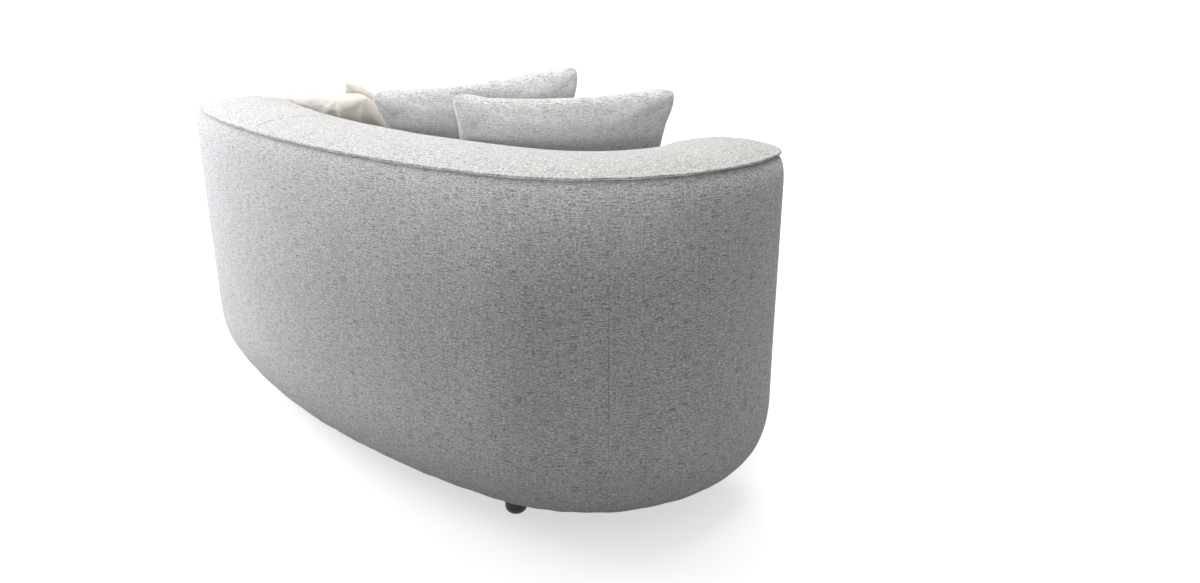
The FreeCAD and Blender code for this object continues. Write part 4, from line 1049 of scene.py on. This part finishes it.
wall_cloth = woven("wall_fabric", (0.96, 0.965, 0.96), 0.50, 0.37, 0.0024, 0.5, 0.15, 0.44)
cushion_cloth = woven("grey_cushion_fabric", (0.79, 0.803, 0.794), 0.32, 0.27, 0.0026, 0.5, 0.15, 0.30)
cream_cloth = woven("cream_cushion_fabric", (0.62, 0.585, 0.530), 0.14, 0.10, 0.0016, 0.3, 0.15)
deck_lining = woven("deck_lining", (0.40, 0.40, 0.41), 0.15, 0.1, 0.002, 0.4, 0.0)
black_lining = woven("black_lining", (0.012, 0.012, 0.013), 0.2, 0.3, 0.002, 0.4, 0.0)
EVEN_GRAIN = (300, 300, 300)
plywood = plain_solid("plywood", (0.36, 0.22, 0.11), (0.55, 0.38, 0.22), (6, 60, 60), 0.7)
black_plastic = plain_solid("black_plastic", (0.006, 0.006, 0.007), (0.014, 0.014, 0.015), EVEN_GRAIN, 0.38)
glide_plastic = plain_solid("glide_plastic", (0.06, 0.06, 0.062), (0.09, 0.09, 0.092), EVEN_GRAIN, 0.6)
steel = plain_solid("steel", (0.34, 0.34, 0.35), (0.50, 0.50, 0.51), (200, 200, 900), 0.35, 1.0)


def dress(obj, material):
    obj.data.materials.clear()
    obj.data.materials.append(material)


HARD = {
    plywood: ("outer_skin", "inner_skin", "back_ribs", "border_ribs", "top_plate", "base_board",
              "seat_platform", "support_posts"),
    black_plastic: ("feet",),
    glide_plastic: ("foot_glides",),
    steel: ("foot_bolts", "foot_nuts", "top_screws", "platform_screws"),
}
for material, names in HARD.items():
    for name in names:
        dress(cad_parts[name], material)

# What each piece is: body, material, slot, the nodes it stands for, and how full it is
SOFT = [(obj, "frame", wall_cloth, "wall_fabric", nodes, fill) for obj, nodes, fill in (
    (outer_arm, ("outer_arm_cover",), 0.9),
    (outer_back, ("outer_back_cover", "back_wrap"), 0.9),
    (inner_back, ("inner_back_cover", "inner_back_pad"), 0.9),
    (border, ("border_cover", "border_wrap"), 0.9),
    (top_main, ("top_cover_main", "top_pad_foam"), 0.85),
    (top_end, ("top_cover_end",), 0.85),
    (flange, ("top_flange",), None))]
SOFT += [(obj, "seat_cushion", wall_cloth, "seat_fabric", nodes, fill) for obj, nodes, fill in (
    (seat, ("seat_cover", "seat_core"), 0.85),
    (welts[0], ("seat_welts",), None),
    (welts[1], ("seat_welts",), None))]
for body, obj, cloth, slot, fill in (
        ("cushion_a", cushion_a, cushion_cloth, "grey_cushion_fabric", 0.7),
        ("cushion_b", cushion_b, cushion_cloth, "grey_cushion_fabric", 0.7),
        ("cushion_c", cushion_c, cream_cloth, "cream_cushion_fabric", 0.5),
        ("cushion_d", cushion_d, cream_cloth, "cream_cushion_fabric", 0.5)):
    SOFT.append((obj, body, cloth, slot, (f"{body}_cover", f"{body}_fill"), fill))
SOFT += [
    (deck, "frame", deck_lining, "deck_lining",
     ("deck_cloth", "deck_felt", "webbing_cross", "webbing_long"), None),
    (dust, "frame", black_lining, "black_lining", ("dust_cover",), None),
]
for obj, body, material, slot, replaced, fill in SOFT:
    dress(obj, material)
    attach(obj, body)
    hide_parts(*replaced)


# Floor, light and camera
def seen_share(tree):
    """1 for what the camera sees, also in gloss and through glass, and 0 for light on the part."""
    path = node(tree, "ShaderNodeLightPath").outputs
    other = calculated(tree, "MAXIMUM", path["Is Glossy Ray"], path["Is Transmission Ray"])
    return calculated(tree, "MAXIMUM", path["Is Camera Ray"], other)


FLOOR_HALF, FLOOR_Z = 60.0, -0.0004
FLOOR_BOUNCE = 0.31
FLOOR_SHADE = 0.5
NEAR_GLOW, FAR_GLOW = 0.62, 0.95
GLOW_FROM, GLOW_TO = 1.0, 3.0
floor_corners = [(x * FLOOR_HALF, y * FLOOR_HALF, FLOOR_Z) for x, y in ((-1, -1), (1, -1), (1, 1), (-1, 1))]
floor = mesh_object("floor", floor_corners, [(0, 1, 2, 3)], smooth=False)
floor_material, tree = new_material("floor_white")
matt = node(tree, "ShaderNodeBsdfDiffuse", Color=(*grey(FLOOR_BOUNCE), 1))
pale = node(tree, "ShaderNodeBsdfDiffuse", Color=(*grey(FLOOR_SHADE), 1))
distance = node(tree, "ShaderNodeVectorMath", operation="LENGTH")
feed(tree, distance.inputs[0], node(tree, "ShaderNodeTexCoord").outputs["Object"])
spread = node(tree, "ShaderNodeMapRange", interpolation_type="SMOOTHSTEP", Value=distance.outputs["Value"],
              **{"From Min": GLOW_FROM, "From Max": GLOW_TO, "To Min": NEAR_GLOW, "To Max": FAR_GLOW})
glow = node(tree, "ShaderNodeEmission", Color=(1, 1, 1, 1), Strength=spread.outputs[0])
lit = node(tree, "ShaderNodeAddShader")
both = node(tree, "ShaderNodeMixShader")
sources = (pale.outputs[0], glow.outputs[0], seen_share(tree), matt.outputs[0], lit.outputs[0])
for socket, source in zip((*lit.inputs, *both.inputs), sources):
    feed(tree, socket, source)
node(tree, "ShaderNodeOutputMaterial", Surface=both.outputs[0])
dress(floor, floor_material)

AMBIENT = 0.55
world = bpy.data.worlds.new("studio")
bpy.context.scene.world = world
world.use_nodes = True
tree = world.node_tree
tree.nodes.clear()
strength = calculated(tree, "ADD", AMBIENT, calculated(tree, "MULTIPLY", seen_share(tree), 1 - AMBIENT))
sky = node(tree, "ShaderNodeBackground", Color=(1, 1, 0.985, 1), Strength=strength)
node(tree, "ShaderNodeOutputWorld", Surface=sky.outputs[0])


def placed(name, data, place, way, **settings):
    """A lamp or the camera with its settings, at place and looking along way."""
    for key, value in settings.items():
        setattr(data, key, value)
    obj = bpy.data.objects.new(name, data)
    obj.location = place
    obj.rotation_euler = way.to_track_quat("-Z", "Y").to_euler()
    bpy.context.scene.collection.objects.link(obj)
    return obj


def lamp(name, kind, place, target, **settings):
    data = bpy.data.lights.new(name, kind)
    return placed(name, data, place, Vector(target) - Vector(place), **settings)


lamp("window", "AREA", (1.9, 1.1, 1.2), (0.3, 0.3, 0.5), shape="SQUARE", size=1.5, energy=74,
     color=(0.95, 0.945, 1.0))
lamp("ceiling", "AREA", (-0.2, -0.9, 3.05), (-0.2, 0.1, 0.6), shape="SQUARE", size=2.0, energy=76,
     color=(1.0, 0.97, 0.94))
# A soft spot on the cushions, from the camera's side
spot = lamp("cushion_spot", "SPOT", (-2.3, 1.9, 1.25), (0.05, 0.03, 1.03), energy=390,
            spot_size=math.radians(15), spot_blend=0.7, shadow_soft_size=0.35)
spot.scale = (2.2, 1, 1)
bpy.context.scene.camera = placed(
    "camera", bpy.data.cameras.new("camera"), (-1.7865, 1.3662, 1.0798), Vector((0.6551, -0.6794, -0.3302)),
    sensor_fit="HORIZONTAL", sensor_width=36.0, lens=28.59, clip_start=0.02, clip_end=300)
bpy.context.scene.view_settings.view_transform = "Standard"
